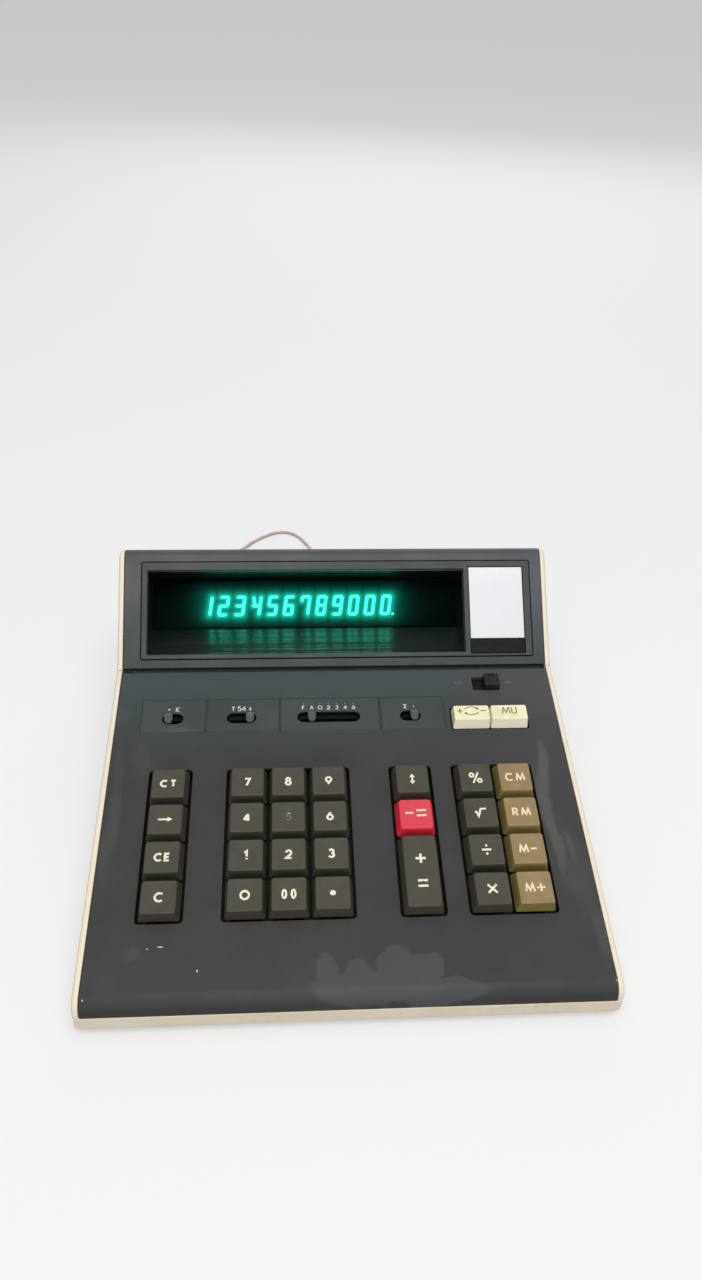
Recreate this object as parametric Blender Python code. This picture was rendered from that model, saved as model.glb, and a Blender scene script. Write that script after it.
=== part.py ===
"""A desktop calculator of the 1970s with a green tube display, built as its real pieces.

Metres, +Z up. The user sits at -Y and +X is to the user's right. The origin is on the table,
under the middle of the case. The sloping keyboard panel and the steeper face of the display
hood meet at the crease: three empties there carry the pieces that follow the level case, the
keyboard panel and the hood's face, and a fourth stands at the top of the sloping back.
"""

import math

import bmesh
import bpy
from mathutils import Vector

# Case: overall sizes and slopes
CASE_WIDTH = 0.228
CREASE_HEIGHT = 0.0524
PANEL_SLOPE = math.radians(11)
HOOD_FOLD = math.radians(32)
BACK_FALL = math.radians(52)
PANEL_REACH = 0.1685  # crease to where the nose starts to curl down
NOSE_RADIUS = 0.008
FACE_LENGTH = 0.0655  # crease to the ridge, were it sharp
RIDGE_RADIUS = 0.005
BACK_REACH = 0.084  # crease to the upright back
BACK_RADIUS = 0.008
FLOOR_HEIGHT = 0.0035

# Case: walls, gaps and edges
CASE_WALL = 0.0025
CHEEK_WALL = 0.0028
HALF = CASE_WIDTH / 2
INSIDE = HALF - CHEEK_WALL  # what stands across the case is placed as a share of this
PANEL_WALL = 0.0025
SEAM = 0.0004
FIT = 0.0003  # the gap that pieces keep where they meet
OVERRUN = 0.004  # how far a cutter stands past what it cuts
BITE = 0.0005  # how far a rib or post is let into what carries it
EDGE_ROUND = 0.0015
FLOOR_ROUND = 0.002
LEDGE_WIDTH = 0.0025
LEDGE_THICK = 0.002

# Rounding: how many steps each kind of curve has
ROLL_STEPS = 6
CORNER_STEPS = 2
POST_SIDES = 10
ROUND_PROFILE = 0.5

# Keyboard panel
GROOVE = 0.002  # the dark gap between the panel's rear edge and the crease
OPENING_SIDE = 0.0007  # how far an opening stands past its cluster's pitches on each side
OPENING_RADIUS = 0.0015
POST_RADIUS = 0.003
SIDE_POSTS_SHARE = 0.9083
FRONT_POSTS_Y = -0.1425
MIDDLE_POSTS_Y = -0.0575

# Keys
KEY_PITCH = 0.019
KEY_BASE = 0.018
KEY_TAPER = 0.0015  # how far each side of the top is drawn in
KEY_RISE = 0.006
KEY_SINK = 0.001
KEY_LEAN = 0.00085  # how far the top is set towards the user
KEY_WALL = 0.0013
KEY_ROOF = 0.0016
KEY_CORNER = 0.0012
KEY_EDGE = 0.0005
KEY_TRAVEL = 0.0035
FIRST_ROW_Y = -0.07225
KEY_ROWS = 4
FUNCTION_KEYS_SHARE = -0.7334
FUNCTION_KEYS_X = INSIDE * FUNCTION_KEYS_SHARE
NUMBER_KEYS_SHARE = -0.232
NUMBER_KEYS_X = INSIDE * NUMBER_KEYS_SHARE
TOTAL_KEYS_SHARE = 0.2954
TOTAL_KEYS_X = INSIDE * TOTAL_KEYS_SHARE
MEMORY_KEYS_SHARE = 0.6529
MEMORY_KEYS_X = INSIDE * MEMORY_KEYS_SHARE

# The two pale keys under the power switch
PALE_WIDTH = 0.0188
PALE_LENGTH = 0.012
PALE_PITCH = 0.0192
PALE_KEYS_SHARE = 0.6844
PALE_KEYS_X = INSIDE * PALE_KEYS_SHARE
PALE_KEYS_Y = -0.034
PALE_RISE = 0.005
PALE_SIDE_TAPER = 0.0005
PALE_FRONT_TAPER = 0.0018
PALE_OPENING_SIDE = 0.0007
PALE_LEFT = PALE_KEYS_X - PALE_PITCH / 2 - PALE_WIDTH / 2 - PALE_OPENING_SIDE

# Key stems, their guides and the contact board
STEM = 0.004
STEM_FIT = 0.00025
GUIDE = 0.013
GUIDE_TOP = -0.0056
FRAME_TOP = -0.011
FRAME_THICK = 0.0016
STEM_REST = 0.0004  # how much lower than the frame's top the stem ends at rest
# Between the frame and the contact board, which stops a key at its full travel
CONTACT_GAP = STEM_REST + KEY_TRAVEL + FIT - FRAME_THICK
CONTACT_THICK = 0.0016
FRAME_SIDE_SHARE = 0.9442
FRAME_SIDE = INSIDE * FRAME_SIDE_SHARE
FRAME_FRONT_Y = -0.1465
FRAME_REAR_Y = -0.0535
FRAME_ARM_X = PALE_LEFT - POST_RADIUS  # where the arm under the pale keys starts
FRAME_ARM_Y = -0.0245

# Row of slide switches
LABEL_LEFT_SHARE = -0.8867
LABEL_LEFT = INSIDE * LABEL_LEFT_SHARE
LABEL_MARGIN = 0.0029  # the label's end to the pale keys' opening
LABEL_RIGHT = PALE_LEFT - LABEL_MARGIN
LABEL_FRONT_Y = -0.0398
LABEL_REAR_Y = -0.0198
LABEL_SINK = 0.0004
LABEL_THICK = 0.0006
LABEL_GROOVE = 0.0008
LABEL_GROOVE_DEPTH = 0.00025
CELL_EDGE_SHARES = (-0.598, -0.268, 0.187)
CELL_EDGES_X = [INSIDE * share for share in CELL_EDGE_SHARES]
SLOT_Y = -0.0315
SLOT_WIDTH = 0.0064
SLOT_FLARE = 0.0005  # the slot in the panel is this much larger all round than the label's
DETENT = 0.00425
KNOB_LENGTH = 0.0048
KNOB_WIDTH = 0.0058
KNOB_CORNER = 0.0022
KNOB_RISE = 0.0008
KNOB_ROOM = 0.0032  # middle of an end knob to the slot's end
KNOB_STEM = 0.0024
CONSTANT_SLOT_SHARE = -0.7473
ROUNDING_SLOT_SHARE = -0.4402
DECIMAL_SLOT_SHARE = -0.0468
TOTAL_SLOT_SHARE = 0.3251

# Switch bodies under the panel
SWITCH_TOP = -0.0043
SWITCH_BOARD_TOP = -0.0112
SWITCH_BOARD_THICK = 0.0016
SWITCH_WALL = 0.0014
SWITCH_WIDTH = 0.009
SWITCH_BOARD_INSET = 0.0011
SWITCH_BOARD_LEFT = LABEL_LEFT + SWITCH_BOARD_INSET
SWITCH_BOARD_RIGHT = LABEL_RIGHT - SWITCH_BOARD_INSET
SWITCH_BOARD_FRONT_Y = LABEL_FRONT_Y + SWITCH_BOARD_INSET
SWITCH_BOARD_REAR_Y = -0.0075
SWITCH_ARM_FRONT_Y = -0.0185

# Power switch
POWER_SHARE = 0.6951
POWER_X = INSIDE * POWER_SHARE
POWER_Y = -0.0118
POWER_SLOT = 0.014
POWER_SLOT_WIDTH = 0.0084
POWER_HEAD = 0.0079
POWER_HEAD_WIDTH = 0.0077
POWER_RISE = 0.0042
POWER_CORNER = 0.001
POWER_DISH = 0.0012  # the finger hollow across the knob
POWER_POST_REACH = 0.01625  # the slot's middle to the post on either side
SWITCH_ARM_RIGHT = POWER_X + POWER_POST_REACH + POST_RADIUS + SWITCH_BOARD_INSET

# Hood: its shell and what the aperture holds
HOOD_WALL = 0.0025
HOOD_FOOT = 0.0006  # crease to the shell's lower edge
HOOD_WRAP = 0.007  # how far the shell runs down the back
APERTURE_LEFT_SHARE = -0.9191
APERTURE_LEFT = INSIDE * APERTURE_LEFT_SHARE
APERTURE_RIGHT_SHARE = 0.9442
APERTURE_RIGHT = INSIDE * APERTURE_RIGHT_SHARE
APERTURE_LOW = 0.005
APERTURE_TOP_MARGIN = 0.0081  # aperture's upper edge to the ridge
APERTURE_HIGH = FACE_LENGTH - APERTURE_TOP_MARGIN
APERTURE_RADIUS = 0.001
BEZEL_FIT = 0.0004
BEZEL_PROUD = 0.0004
BEZEL_THICK = 0.0031
PLATE_BED_WIDTH = 0.0295
PLATE_RIGHT_RIM = 0.004
PLATE_RIGHT = APERTURE_RIGHT - PLATE_RIGHT_RIM
PLATE_LEFT = PLATE_RIGHT - PLATE_BED_WIDTH
PLATE_LOW_RIM = 0.0016
PLATE_LOW = APERTURE_LOW + PLATE_LOW_RIM
PLATE_HIGH_RIM = 0.0036
PLATE_HIGH = APERTURE_HIGH - PLATE_HIGH_RIM
WINDOW_LEFT_RIM = 0.0033
WINDOW_LEFT = APERTURE_LEFT + WINDOW_LEFT_RIM
WINDOW_BAR = 0.0027  # between the window and the plate's bed
WINDOW_RIGHT = PLATE_LEFT - WINDOW_BAR
WINDOW_LOW_RIM = 0.00275
WINDOW_LOW = APERTURE_LOW + WINDOW_LOW_RIM
WINDOW_HIGH_RIM = 0.00475
WINDOW_HIGH = APERTURE_HIGH - WINDOW_HIGH_RIM
PLATE_SINK = 0.0014
PLATE_THICK = 0.0007
PLATE_FIT = 0.0003
STRIP_HEIGHT = 0.0083  # the dark strip left bare under the plate

# Display: shadow box, filter, tube and board
BOX_WALL = 0.0015
BOX_FLANGE = 0.0015
BOX_FLANGE_REACH = 0.0032  # how far the flange laps past the aperture at its sides
BOX_FLANGE_DROP = 0.009
BOX_FLANGE_LIFT = 0.0011
FILTER_DEPTH = 0.024
FLOOR_RISE_SHARE = 0.384187  # the box's floor from its mouth to the filter, by window height
FILTER_LOW = WINDOW_LOW + (WINDOW_HIGH - WINDOW_LOW) * FLOOR_RISE_SHARE
CEILING_RISE = 0.00105
FILTER_HIGH = WINDOW_HIGH + CEILING_RISE
FILTER_THICK = 0.0012
FILTER_LAP = 0.001
TUBE_LEFT_MARGIN = 0.0169
TUBE_LEFT = WINDOW_LEFT + TUBE_LEFT_MARGIN
TUBE_RIGHT_MARGIN = 0.0228
TUBE_RIGHT = WINDOW_RIGHT - TUBE_RIGHT_MARGIN
TUBE_MARGIN = 0.003
TUBE_LOW = FILTER_LOW + TUBE_MARGIN
TUBE_HIGH = FILTER_HIGH - TUBE_MARGIN
TUBE_THICK = 0.007
TUBE_EDGE = 0.0012
TIP_RADIUS = 0.002
TIP_LENGTH = 0.0045
BOARD_THICK = 0.0016
BOARD_LOW = FILTER_LOW + FILTER_LAP
BOARD_HIGH = FILTER_HIGH
BRACKET = 0.0045
BRACKET_LENGTH_SHARE = 0.35  # the bracket's length as a share of the board's height

# Back of the case
VENT_COUNT = 12
VENT_PITCH = 0.0052
VENT_WIDTH = 0.0022
VENT_LENGTH = 0.016
VENT_DOWN = 0.012  # hood's rear edge to the slots
VENTS_SHARE = 0.4676
TONGUE_THICK = 0.0014
TONGUE_REACH = 0.0045
TONGUE_ROOT = 0.003

# Rails that tie the two cheeks of the front case
FRONT_RAIL_DEPTH = 0.007
FRONT_RAIL_THICK = 0.002
REAR_RAIL_TOP = -0.008
REAR_RAIL_THICK = 0.004
REAR_RAIL_REAR = -0.003
REAR_RAIL_DEPTH = 0.003

# Feet
FOOT_RADIUS = 0.0075
FOOT_GRIP = 0.0005  # the foot's lower edge is drawn in by this
FOOT_STUD = 0.0024
FOOT_HEAD = 0.0034
FOOT_HEAD_HEIGHT = 0.0016
FOOT_INSET = 0.022
FOOT_SIDES = 16
SCREW_RECESS = 0.0035
SCREW_RECESS_DEPTH = 0.0012
SCREW_INSET_X = 0.02
SCREW_INSET_Y = 0.05

# Works inside the case
LOGIC_LEFT_SHARE = -0.8094
LOGIC_LEFT = INSIDE * LOGIC_LEFT_SHARE
LOGIC_FRONT_REACH = 0.052  # forward of the crease
LOGIC_REAR_MARGIN = 0.016  # to the upright back
LOGIC_HEIGHT = 0.014
LOGIC_THICK = 0.0016
LOGIC_POST_INSET = 0.008
LOGIC_POST_RADIUS = 0.0035
CHIP_LENGTH = 0.036
CHIP_WIDTH = 0.013
CHIP_HEIGHT = 0.0045
CHIP_PITCH = 0.042
CHIP_COUNT = 3
CHIP_REAR_REACH = 0.012  # crease to the row of chips
CAN_RADIUS = 0.008
CAN_HEIGHT = 0.022
CAN_SHARE = -0.6835
CAN_REAR_MARGIN = 0.032
CORE_WIDTH = 0.042
CORE_DEPTH = 0.03
CORE_HEIGHT = 0.033
CORE_SHARE = 0.5935
CORE_X = INSIDE * CORE_SHARE
CORE_REAR_MARGIN = 0.038  # the core's middle to the upright back
COIL_OUT = 0.007  # how far the windings stand out of the core
COIL_HEIGHT = 0.022
STRAP_REACH = 0.009
STRAP_THICK = 0.0016
LOGIC_SIDE_MARGIN = 0.005  # the logic board's edge to the core
LOGIC_RIGHT = CORE_X - CORE_WIDTH / 2 - LOGIC_SIDE_MARGIN

# Mains lead: relief, free stretch, coil, tie and plug
LEAD_DIAMETER = 0.0022
LEAD_REST = 0.00115  # the lead's middle where it lies on the table
LEAD_STEP = 0.0055  # from one point of its free stretch to the next
FINE_STEPS = 12
# the free stretch by hand, from the relief to the coil
LEAD_ROUTE = (
    (-0.08, 0.158, 0.0193),
    (-0.0799, 0.168, 0.0152),
    (-0.0796, 0.178, 0.0095),
    (-0.079, 0.189, 0.0042),
    (-0.0775, 0.2, 0.0016),
    (-0.0745, 0.2115, LEAD_REST),
    (-0.0682, 0.2245, LEAD_REST),
    (-0.0573, 0.2381, LEAD_REST),
    (-0.0495, 0.2481, LEAD_REST),
    (-0.0413, 0.2553, LEAD_REST),
    (-0.0345, 0.2594, LEAD_REST),
    (-0.0269, 0.2604, LEAD_REST),
    (-0.0191, 0.2557, LEAD_REST),
    (-0.0136, 0.2469, LEAD_REST),
    (-0.0094, 0.2382, LEAD_REST),
    (-0.0052, 0.2275, LEAD_REST),
    (-0.0012, 0.2145, LEAD_REST),
    (0.0014, 0.201, 0.0014),
)
COIL_RUN_IN = 0.011
RELIEF_SHARE = -0.7194
RELIEF_X = INSIDE * RELIEF_SHARE
RELIEF_HEIGHT = 0.02
RELIEF_BORE = 0.0038
RELIEF_FLANGE = 0.0055
RELIEF_FLANGE_THICK = 0.0018
RELIEF_TAIL = 0.022
RELIEF_ROOT = 0.0031
RELIEF_TIP = 0.0019
RELIEF_LOCK = 0.0022
COIL_X = 0.0215
COIL_Y = 0.1745
COIL_TURNS = 15.25
COIL_LAYERS = 4
COIL_MIDDLE = 0.0132
COIL_PITCH = 0.00308
COIL_RISE = 0.0028
COIL_BASE = 0.0026  # the lowest layer's middle, lifted by the tie under it
COIL_EXIT_SHARES = (0.35, 0.7)
LOOP_POINTS = 24
TIE_ANGLE = math.radians(60)
TIE_WIDTH = 0.0045
TIE_THICK = 0.0008
TIE_FIT = 0.0003
PLUG_GAP = 0.012  # the coil's side to the plug's tail
PLUG_TAIL = 0.016
PLUG_TAIL_RADIUS = 0.0019
PLUG_NECK_RADIUS = 0.0034
PLUG_LENGTH = 0.03
PLUG_WIDTH = 0.0345
PLUG_THICK = 0.0136
PLUG_FACE_WIDTH = 0.0256
PLUG_CORNER = 0.0045
PLUG_SHOULDER_SHARE = 0.46  # the shoulder's width and the body's widest stretch, as shares
PLUG_SHOULDER_THICK_SHARE = 0.8
PLUG_WIDEST_SHARES = (0.33, 0.67)
PLUG_CORNER_STEPS = 3
PIN_RADIUS = 0.002
PIN_LENGTH = 0.019
PIN_SPACING = 0.0186

# Derived: where the case's corners lie, measured from the crease as (along Y, up)
FACE_SLOPE = PANEL_SLOPE + HOOD_FOLD


def panel_point(along, above):
    """A point of the keyboard panel's section as seen in the level case."""
    across, up = math.cos(PANEL_SLOPE), math.sin(PANEL_SLOPE)
    return along * across - above * up, along * up + above * across


def face_point(up_face, above):
    """A point of the hood face's section as seen in the level case."""
    across, up = math.cos(FACE_SLOPE), math.sin(FACE_SLOPE)
    return up_face * across - above * up, up_face * up + above * across


def arc(centre, radius, start, end, steps=ROLL_STEPS):
    """Points of an arc, its ends included; the angles are in radians."""
    turns = [start + (end - start) * i / steps for i in range(steps + 1)]
    return [(centre[0] + radius * math.cos(a), centre[1] + radius * math.sin(a)) for a in turns]


QUARTER = math.pi / 2
NOSE_CENTRE = panel_point(-PANEL_REACH, -NOSE_RADIUS)
FRONT_REACH = NOSE_RADIUS - NOSE_CENTRE[0]
PARTING = NOSE_CENTRE[1]
CREASE_Y = (FRONT_REACH - BACK_REACH) / 2
ROLL_START = FACE_LENGTH - RIDGE_RADIUS * math.tan((FACE_SLOPE + BACK_FALL) / 2)
ROLL_CENTRE = face_point(ROLL_START, -RIDGE_RADIUS)
BACK_ANGLE = QUARTER - BACK_FALL
BACK_START = (
    ROLL_CENTRE[0] + RIDGE_RADIUS * math.cos(BACK_ANGLE),
    ROLL_CENTRE[1] + RIDGE_RADIUS * math.sin(BACK_ANGLE),
)


def back_point(down, above):
    """A point of the sloping back's section; down runs from the end of the ridge's roll."""
    across, drop = math.cos(BACK_FALL), math.sin(BACK_FALL)
    return BACK_START[0] + down * across + above * drop, BACK_START[1] - down * drop + above * across


BACK_BEND_Y = BACK_REACH - BACK_RADIUS
BACK_BEND_Z = BACK_START[1] - (
    BACK_RADIUS + (BACK_BEND_Y - BACK_START[0]) * math.cos(BACK_ANGLE)
) / math.sin(BACK_ANGLE)
BACK_BEND = (BACK_BEND_Y, BACK_BEND_Z)


# Scene and materials

def clear_scene():
    for old in list(bpy.data.objects):
        bpy.data.objects.remove(old, do_unlink=True)


def plastic(name, colour, roughness=0.5, metallic=0.0, transmission=0.0):
    material = bpy.data.materials.new(name)
    material.use_nodes = True
    shader = material.node_tree.nodes["Principled BSDF"]
    shader.inputs["Base Color"].default_value = (*colour, 1)
    shader.inputs["Roughness"].default_value = roughness
    shader.inputs["Metallic"].default_value = metallic
    shader.inputs["Transmission Weight"].default_value = transmission
    return material


def make_materials():
    return {
        "cream": plastic("cream_casing", (0.82, 0.72, 0.55), 0.45),
        "charcoal": plastic("charcoal_paint", (0.062, 0.066, 0.066), 0.6),
        "bezel": plastic("bezel_plastic", (0.05, 0.054, 0.055), 0.4),
        "box": plastic("gloss_black", (0.008, 0.01, 0.011), 0.12),
        "filter": plastic("smoked_filter", (0.01, 0.05, 0.04), 0.08, transmission=0.6),
        "glass": plastic("tube_glass", (0.2, 0.3, 0.28), 0.05, transmission=0.7),
        "plate": plastic("silver_plate", (0.82, 0.84, 0.86), 0.35, metallic=0.3),
        "dark_key": plastic("dark_key", (0.09, 0.078, 0.06), 0.5),
        "khaki_key": plastic("khaki_key", (0.29, 0.22, 0.11), 0.5),
        "red_key": plastic("red_key", (0.66, 0.05, 0.08), 0.4),
        "pale_key": plastic("pale_key", (0.86, 0.81, 0.58), 0.4),
        "knob": plastic("smoked_knob", (0.14, 0.15, 0.14), 0.35),
        "black": plastic("black_plastic", (0.012, 0.012, 0.014), 0.45),
        "board": plastic("circuit_board", (0.02, 0.13, 0.05), 0.4),
        "steel": plastic("transformer_steel", (0.25, 0.24, 0.23), 0.5, metallic=0.8),
        "rubber": plastic("foot_rubber", (0.02, 0.02, 0.02), 0.85),
        "lead": plastic("pale_lead", (0.55, 0.42, 0.35), 0.5),
    }


# Modelling helpers

def finish_mesh(bm, name, material):
    """Turns a bmesh into an object whose faces point out."""
    bmesh.ops.recalc_face_normals(bm, faces=bm.faces)
    mesh = bpy.data.meshes.new(name)
    bm.to_mesh(mesh)
    bm.free()
    part = bpy.data.objects.new(name, mesh)
    if material is not None:
        mesh.materials.append(material)
    bpy.context.scene.collection.objects.link(part)
    return part


def put(part, axes, place=(0, 0, 0)):
    part.parent = axes
    part.location = place
    return part


def add_rings(bm, rings, closed=False):
    """Bridges rings of equal counts; caps both ends, or joins the last ring to the first."""
    loops = [[bm.verts.new(point) for point in ring] for ring in rings]
    count = len(loops[0])
    pairs = list(zip(loops, loops[1:]))
    if closed:
        pairs.append((loops[-1], loops[0]))
    for one, two in pairs:
        for i in range(count):
            j = (i + 1) % count
            bm.faces.new((one[i], one[j], two[j], two[i]))
    if not closed:
        bm.faces.new(loops[0])
        bm.faces.new(loops[-1])


def loft(name, rings, material=None, closed=False):
    bm = bmesh.new()
    add_rings(bm, rings, closed)
    return finish_mesh(bm, name, material)


def section_rings(outline, low, high):
    """Two rings of a section drawn in Y and Z that runs along X."""
    return [[(x, y, z) for y, z in outline] for x in (low, high)]


def plan_rings(outline, low, high):
    """Two rings of an outline drawn in X and Y that rises along Z."""
    return [[(x, y, z) for x, y in outline] for z in (low, high)]


def prisms(name, shapes, material=None):
    """Several prisms in one mesh; each shape is a pair of rings."""
    bm = bmesh.new()
    for rings in shapes:
        add_rings(bm, rings)
    return finish_mesh(bm, name, material)


def rectangle(low_x, high_x, low_y, high_y):
    return [(low_x, low_y), (high_x, low_y), (high_x, high_y), (low_x, high_y)]


def rounded(low_x, high_x, low_y, high_y, radius, steps=CORNER_STEPS):
    """A rectangle with round corners, from its lower left corner round to the right."""
    corners = [
        (low_x + radius, low_y + radius, 2),
        (high_x - radius, low_y + radius, 3),
        (high_x - radius, high_y - radius, 0),
        (low_x + radius, high_y - radius, 1),
    ]
    outline = []
    for x, y, quarter in corners:
        outline += arc((x, y), radius, quarter * QUARTER, (quarter + 1) * QUARTER, steps)
    return outline


def middled(width, length, radius, x=0, y=0, steps=CORNER_STEPS):
    """A rounded rectangle about a middle point."""
    return rounded(x - width / 2, x + width / 2, y - length / 2, y + length / 2, radius, steps)


def disc(radius, x=0, y=0, sides=POST_SIDES):
    return arc((x, y), radius, 0, 2 * math.pi * (sides - 1) / sides, sides - 1)


def as_cutter(part):
    part.hide_render = True
    part.display_type = "WIRE"
    return part


def combine(part, other, operation):
    """Leaves an exact Boolean on the part; the other shape only serves it."""
    as_cutter(other)
    step = part.modifiers.new(other.name, "BOOLEAN")
    step.operation = operation
    step.solver = "EXACT"
    step.object = other
    return part


def cut(part, other):
    return combine(part, other, "DIFFERENCE")


def join(part, other):
    return combine(part, other, "UNION")


def round_edges(part, wanted, width, steps=CORNER_STEPS):
    """Rounds the edges that pass the test, given the edge's two ends."""
    bm = bmesh.new()
    bm.from_mesh(part.data)
    edges = [e for e in bm.edges if wanted(*(v.co for v in e.verts))]
    bmesh.ops.bevel(
        bm, geom=edges, offset=width, offset_type="OFFSET", segments=steps,
        profile=ROUND_PROFILE, affect="EDGES", clamp_overlap=True,
    )
    bm.to_mesh(part.data)
    bm.free()
    return part


def smooth(part, angle=math.radians(35)):
    """Smooth shading that keeps the sharp edges."""
    part.data.shade_smooth()
    part.data.set_sharp_from_angle(angle=angle)
    return part


def empty(name, place, tilt=0):
    axes = bpy.data.objects.new(name, None)
    axes.location = place
    axes.rotation_euler = (tilt, 0, 0)
    bpy.context.scene.collection.objects.link(axes)
    return axes


# Case shells

def round_skin(part):
    """Rounds the outer edges of the cheeks, but not those on the seam or the parting plane."""
    def on_skin(one, two):
        at_seam = max(abs(one.y), abs(two.y)) < SEAM
        at_parting = max(abs(one.z - PARTING), abs(two.z - PARTING)) < FIT
        outside = min(abs(one.x), abs(two.x)) > HALF - FIT
        return outside and one.x * two.x > 0 and not at_seam and not at_parting

    return round_edges(part, on_skin, EDGE_ROUND)


def make_front_case(axes, material):
    """Two cheeks with ledges for the keyboard panel, tied by two rails."""
    seam_y = -SEAM / 2
    outline = [(seam_y, seam_y * math.tan(PANEL_SLOPE))]
    outline += arc(NOSE_CENTRE, NOSE_RADIUS, QUARTER + PANEL_SLOPE, 2 * QUARTER)
    outline += [(seam_y, PARTING)]
    cheeks = [section_rings(outline, *ends) for ends in ((-HALF, -INSIDE), (INSIDE, HALF))]
    case = round_skin(prisms("front_case", cheeks, material))
    put(case, axes)

    ledge_top = -PANEL_WALL - FIT
    ledge = [
        panel_point(-GROOVE, ledge_top),
        panel_point(-PANEL_REACH + NOSE_RADIUS, ledge_top),
        panel_point(-PANEL_REACH + NOSE_RADIUS, ledge_top - LEDGE_THICK),
        panel_point(-GROOVE - LEDGE_THICK, ledge_top - LEDGE_THICK),
    ]
    sides = [(INSIDE - LEDGE_WIDTH, INSIDE + BITE), (-INSIDE - BITE, -INSIDE + LEDGE_WIDTH)]
    ledges = prisms("front_ledges", [section_rings(ledge, low, high) for low, high in sides])
    join(case, put(ledges, axes))

    rail_y = NOSE_CENTRE[0]
    rail_z = PARTING + FIT
    front_rail = rectangle(rail_y, rail_y + FRONT_RAIL_DEPTH, rail_z, rail_z + FRONT_RAIL_THICK)
    rear_rail = [
        panel_point(REAR_RAIL_REAR, REAR_RAIL_TOP),
        panel_point(REAR_RAIL_REAR - REAR_RAIL_DEPTH, REAR_RAIL_TOP),
        panel_point(REAR_RAIL_REAR - REAR_RAIL_DEPTH, REAR_RAIL_TOP - REAR_RAIL_THICK),
        panel_point(REAR_RAIL_REAR, REAR_RAIL_TOP - REAR_RAIL_THICK),
    ]
    ends = (-INSIDE - BITE, INSIDE + BITE)
    rails = prisms("front_rails", [section_rings(rail, *ends) for rail in (front_rail, rear_rail)])
    join(case, put(rails, axes))
    return smooth(case)


def back_path(start, depth):
    """The back's section from a point down the slope to the parting, at a depth under the skin."""
    path = [back_point(start, -depth)]
    path += arc(BACK_BEND, BACK_RADIUS - depth, BACK_ANGLE, 0)
    path += [(BACK_REACH - depth, PARTING)]
    return path


def make_rear_case(axes, back_axes, material):
    """Cheeks, sloping back and upright rear wall; it carries the hood's shell."""
    seam_y = SEAM / 2
    outline = [(seam_y, seam_y * math.tan(FACE_SLOPE))]
    outline += arc(ROLL_CENTRE, RIDGE_RADIUS, QUARTER + FACE_SLOPE, BACK_ANGLE)
    outline += back_path(HOOD_WRAP, 0)
    outline += [(seam_y, PARTING)]
    case = round_skin(prisms("rear_case", [section_rings(outline, -HALF, HALF)], material))
    put(case, axes)

    ends = (-INSIDE, INSIDE)
    wall_start = HOOD_WRAP + FIT
    under_hood = HOOD_WALL + FIT
    above = face_point(FACE_LENGTH, OVERRUN)[1]
    under = PARTING - OVERRUN
    hollow = [
        (-OVERRUN, under),
        (-OVERRUN, above),
        (back_point(wall_start, OVERRUN)[0], above),
        back_point(wall_start, OVERRUN),
        back_point(wall_start, -under_hood),
        back_point(wall_start - TONGUE_REACH, -under_hood),
        back_point(wall_start - TONGUE_REACH, -under_hood - TONGUE_THICK),
        back_point(wall_start + TONGUE_ROOT, -under_hood - TONGUE_THICK),
    ]
    hollow += back_path(wall_start + TONGUE_ROOT, CASE_WALL)
    hollow[-1] = (BACK_REACH - CASE_WALL, under)
    cut(case, put(prisms("rear_hollow", [section_rings(hollow, *ends)]), axes))

    ledge = [
        face_point(APERTURE_LOW, -under_hood),
        face_point(APERTURE_HIGH, -under_hood),
        face_point(APERTURE_HIGH, -under_hood - LEDGE_THICK),
        face_point(APERTURE_LOW, -under_hood - LEDGE_THICK),
    ]
    sides = [(INSIDE - LEDGE_WIDTH, INSIDE + BITE), (-INSIDE - BITE, -INSIDE + LEDGE_WIDTH)]
    ledges = prisms("rear_ledges", [section_rings(ledge, low, high) for low, high in sides])
    join(case, put(ledges, axes))

    first = INSIDE * VENTS_SHARE - VENT_PITCH * (VENT_COUNT - 1) / 2
    slots = []
    for i in range(VENT_COUNT):
        x = first + i * VENT_PITCH
        slot = middled(
            VENT_WIDTH, VENT_LENGTH, VENT_WIDTH / 2,
            x, HOOD_WRAP + VENT_DOWN + VENT_LENGTH / 2, CORNER_STEPS,
        )
        slots.append(plan_rings(slot, -CASE_WALL - OVERRUN, OVERRUN))
    cut(case, put(prisms("rear_vents", slots), back_axes))

    relief_z = RELIEF_HEIGHT - CREASE_HEIGHT
    bore = [
        [(x, y, z) for x, z in disc(RELIEF_BORE + FIT, RELIEF_X, relief_z, FOOT_SIDES)]
        for y in (BACK_REACH - CASE_WALL - OVERRUN, BACK_REACH + OVERRUN)
    ]
    cut(case, put(loft("relief_bore", bore), axes))
    return smooth(case)


def foot_places():
    """The middles of the four feet, with a name for each."""
    x = HALF - FOOT_INSET
    front = -FRONT_REACH + CREASE_Y + FOOT_INSET
    rear = BACK_REACH + CREASE_Y - FOOT_INSET
    return {
        "foot_front_left": (-x, front),
        "foot_front_right": (x, front),
        "foot_rear_left": (-x, rear),
        "foot_rear_right": (x, rear),
    }


def logic_post_places():
    low_x, high_x = LOGIC_LEFT + LOGIC_POST_INSET, LOGIC_RIGHT - LOGIC_POST_INSET
    low_y = CREASE_Y - LOGIC_FRONT_REACH + LOGIC_POST_INSET
    high_y = CREASE_Y + BACK_REACH - LOGIC_REAR_MARGIN - LOGIC_POST_INSET
    return [(x, y) for x in (low_x, high_x) for y in (low_y, high_y)]


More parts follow.
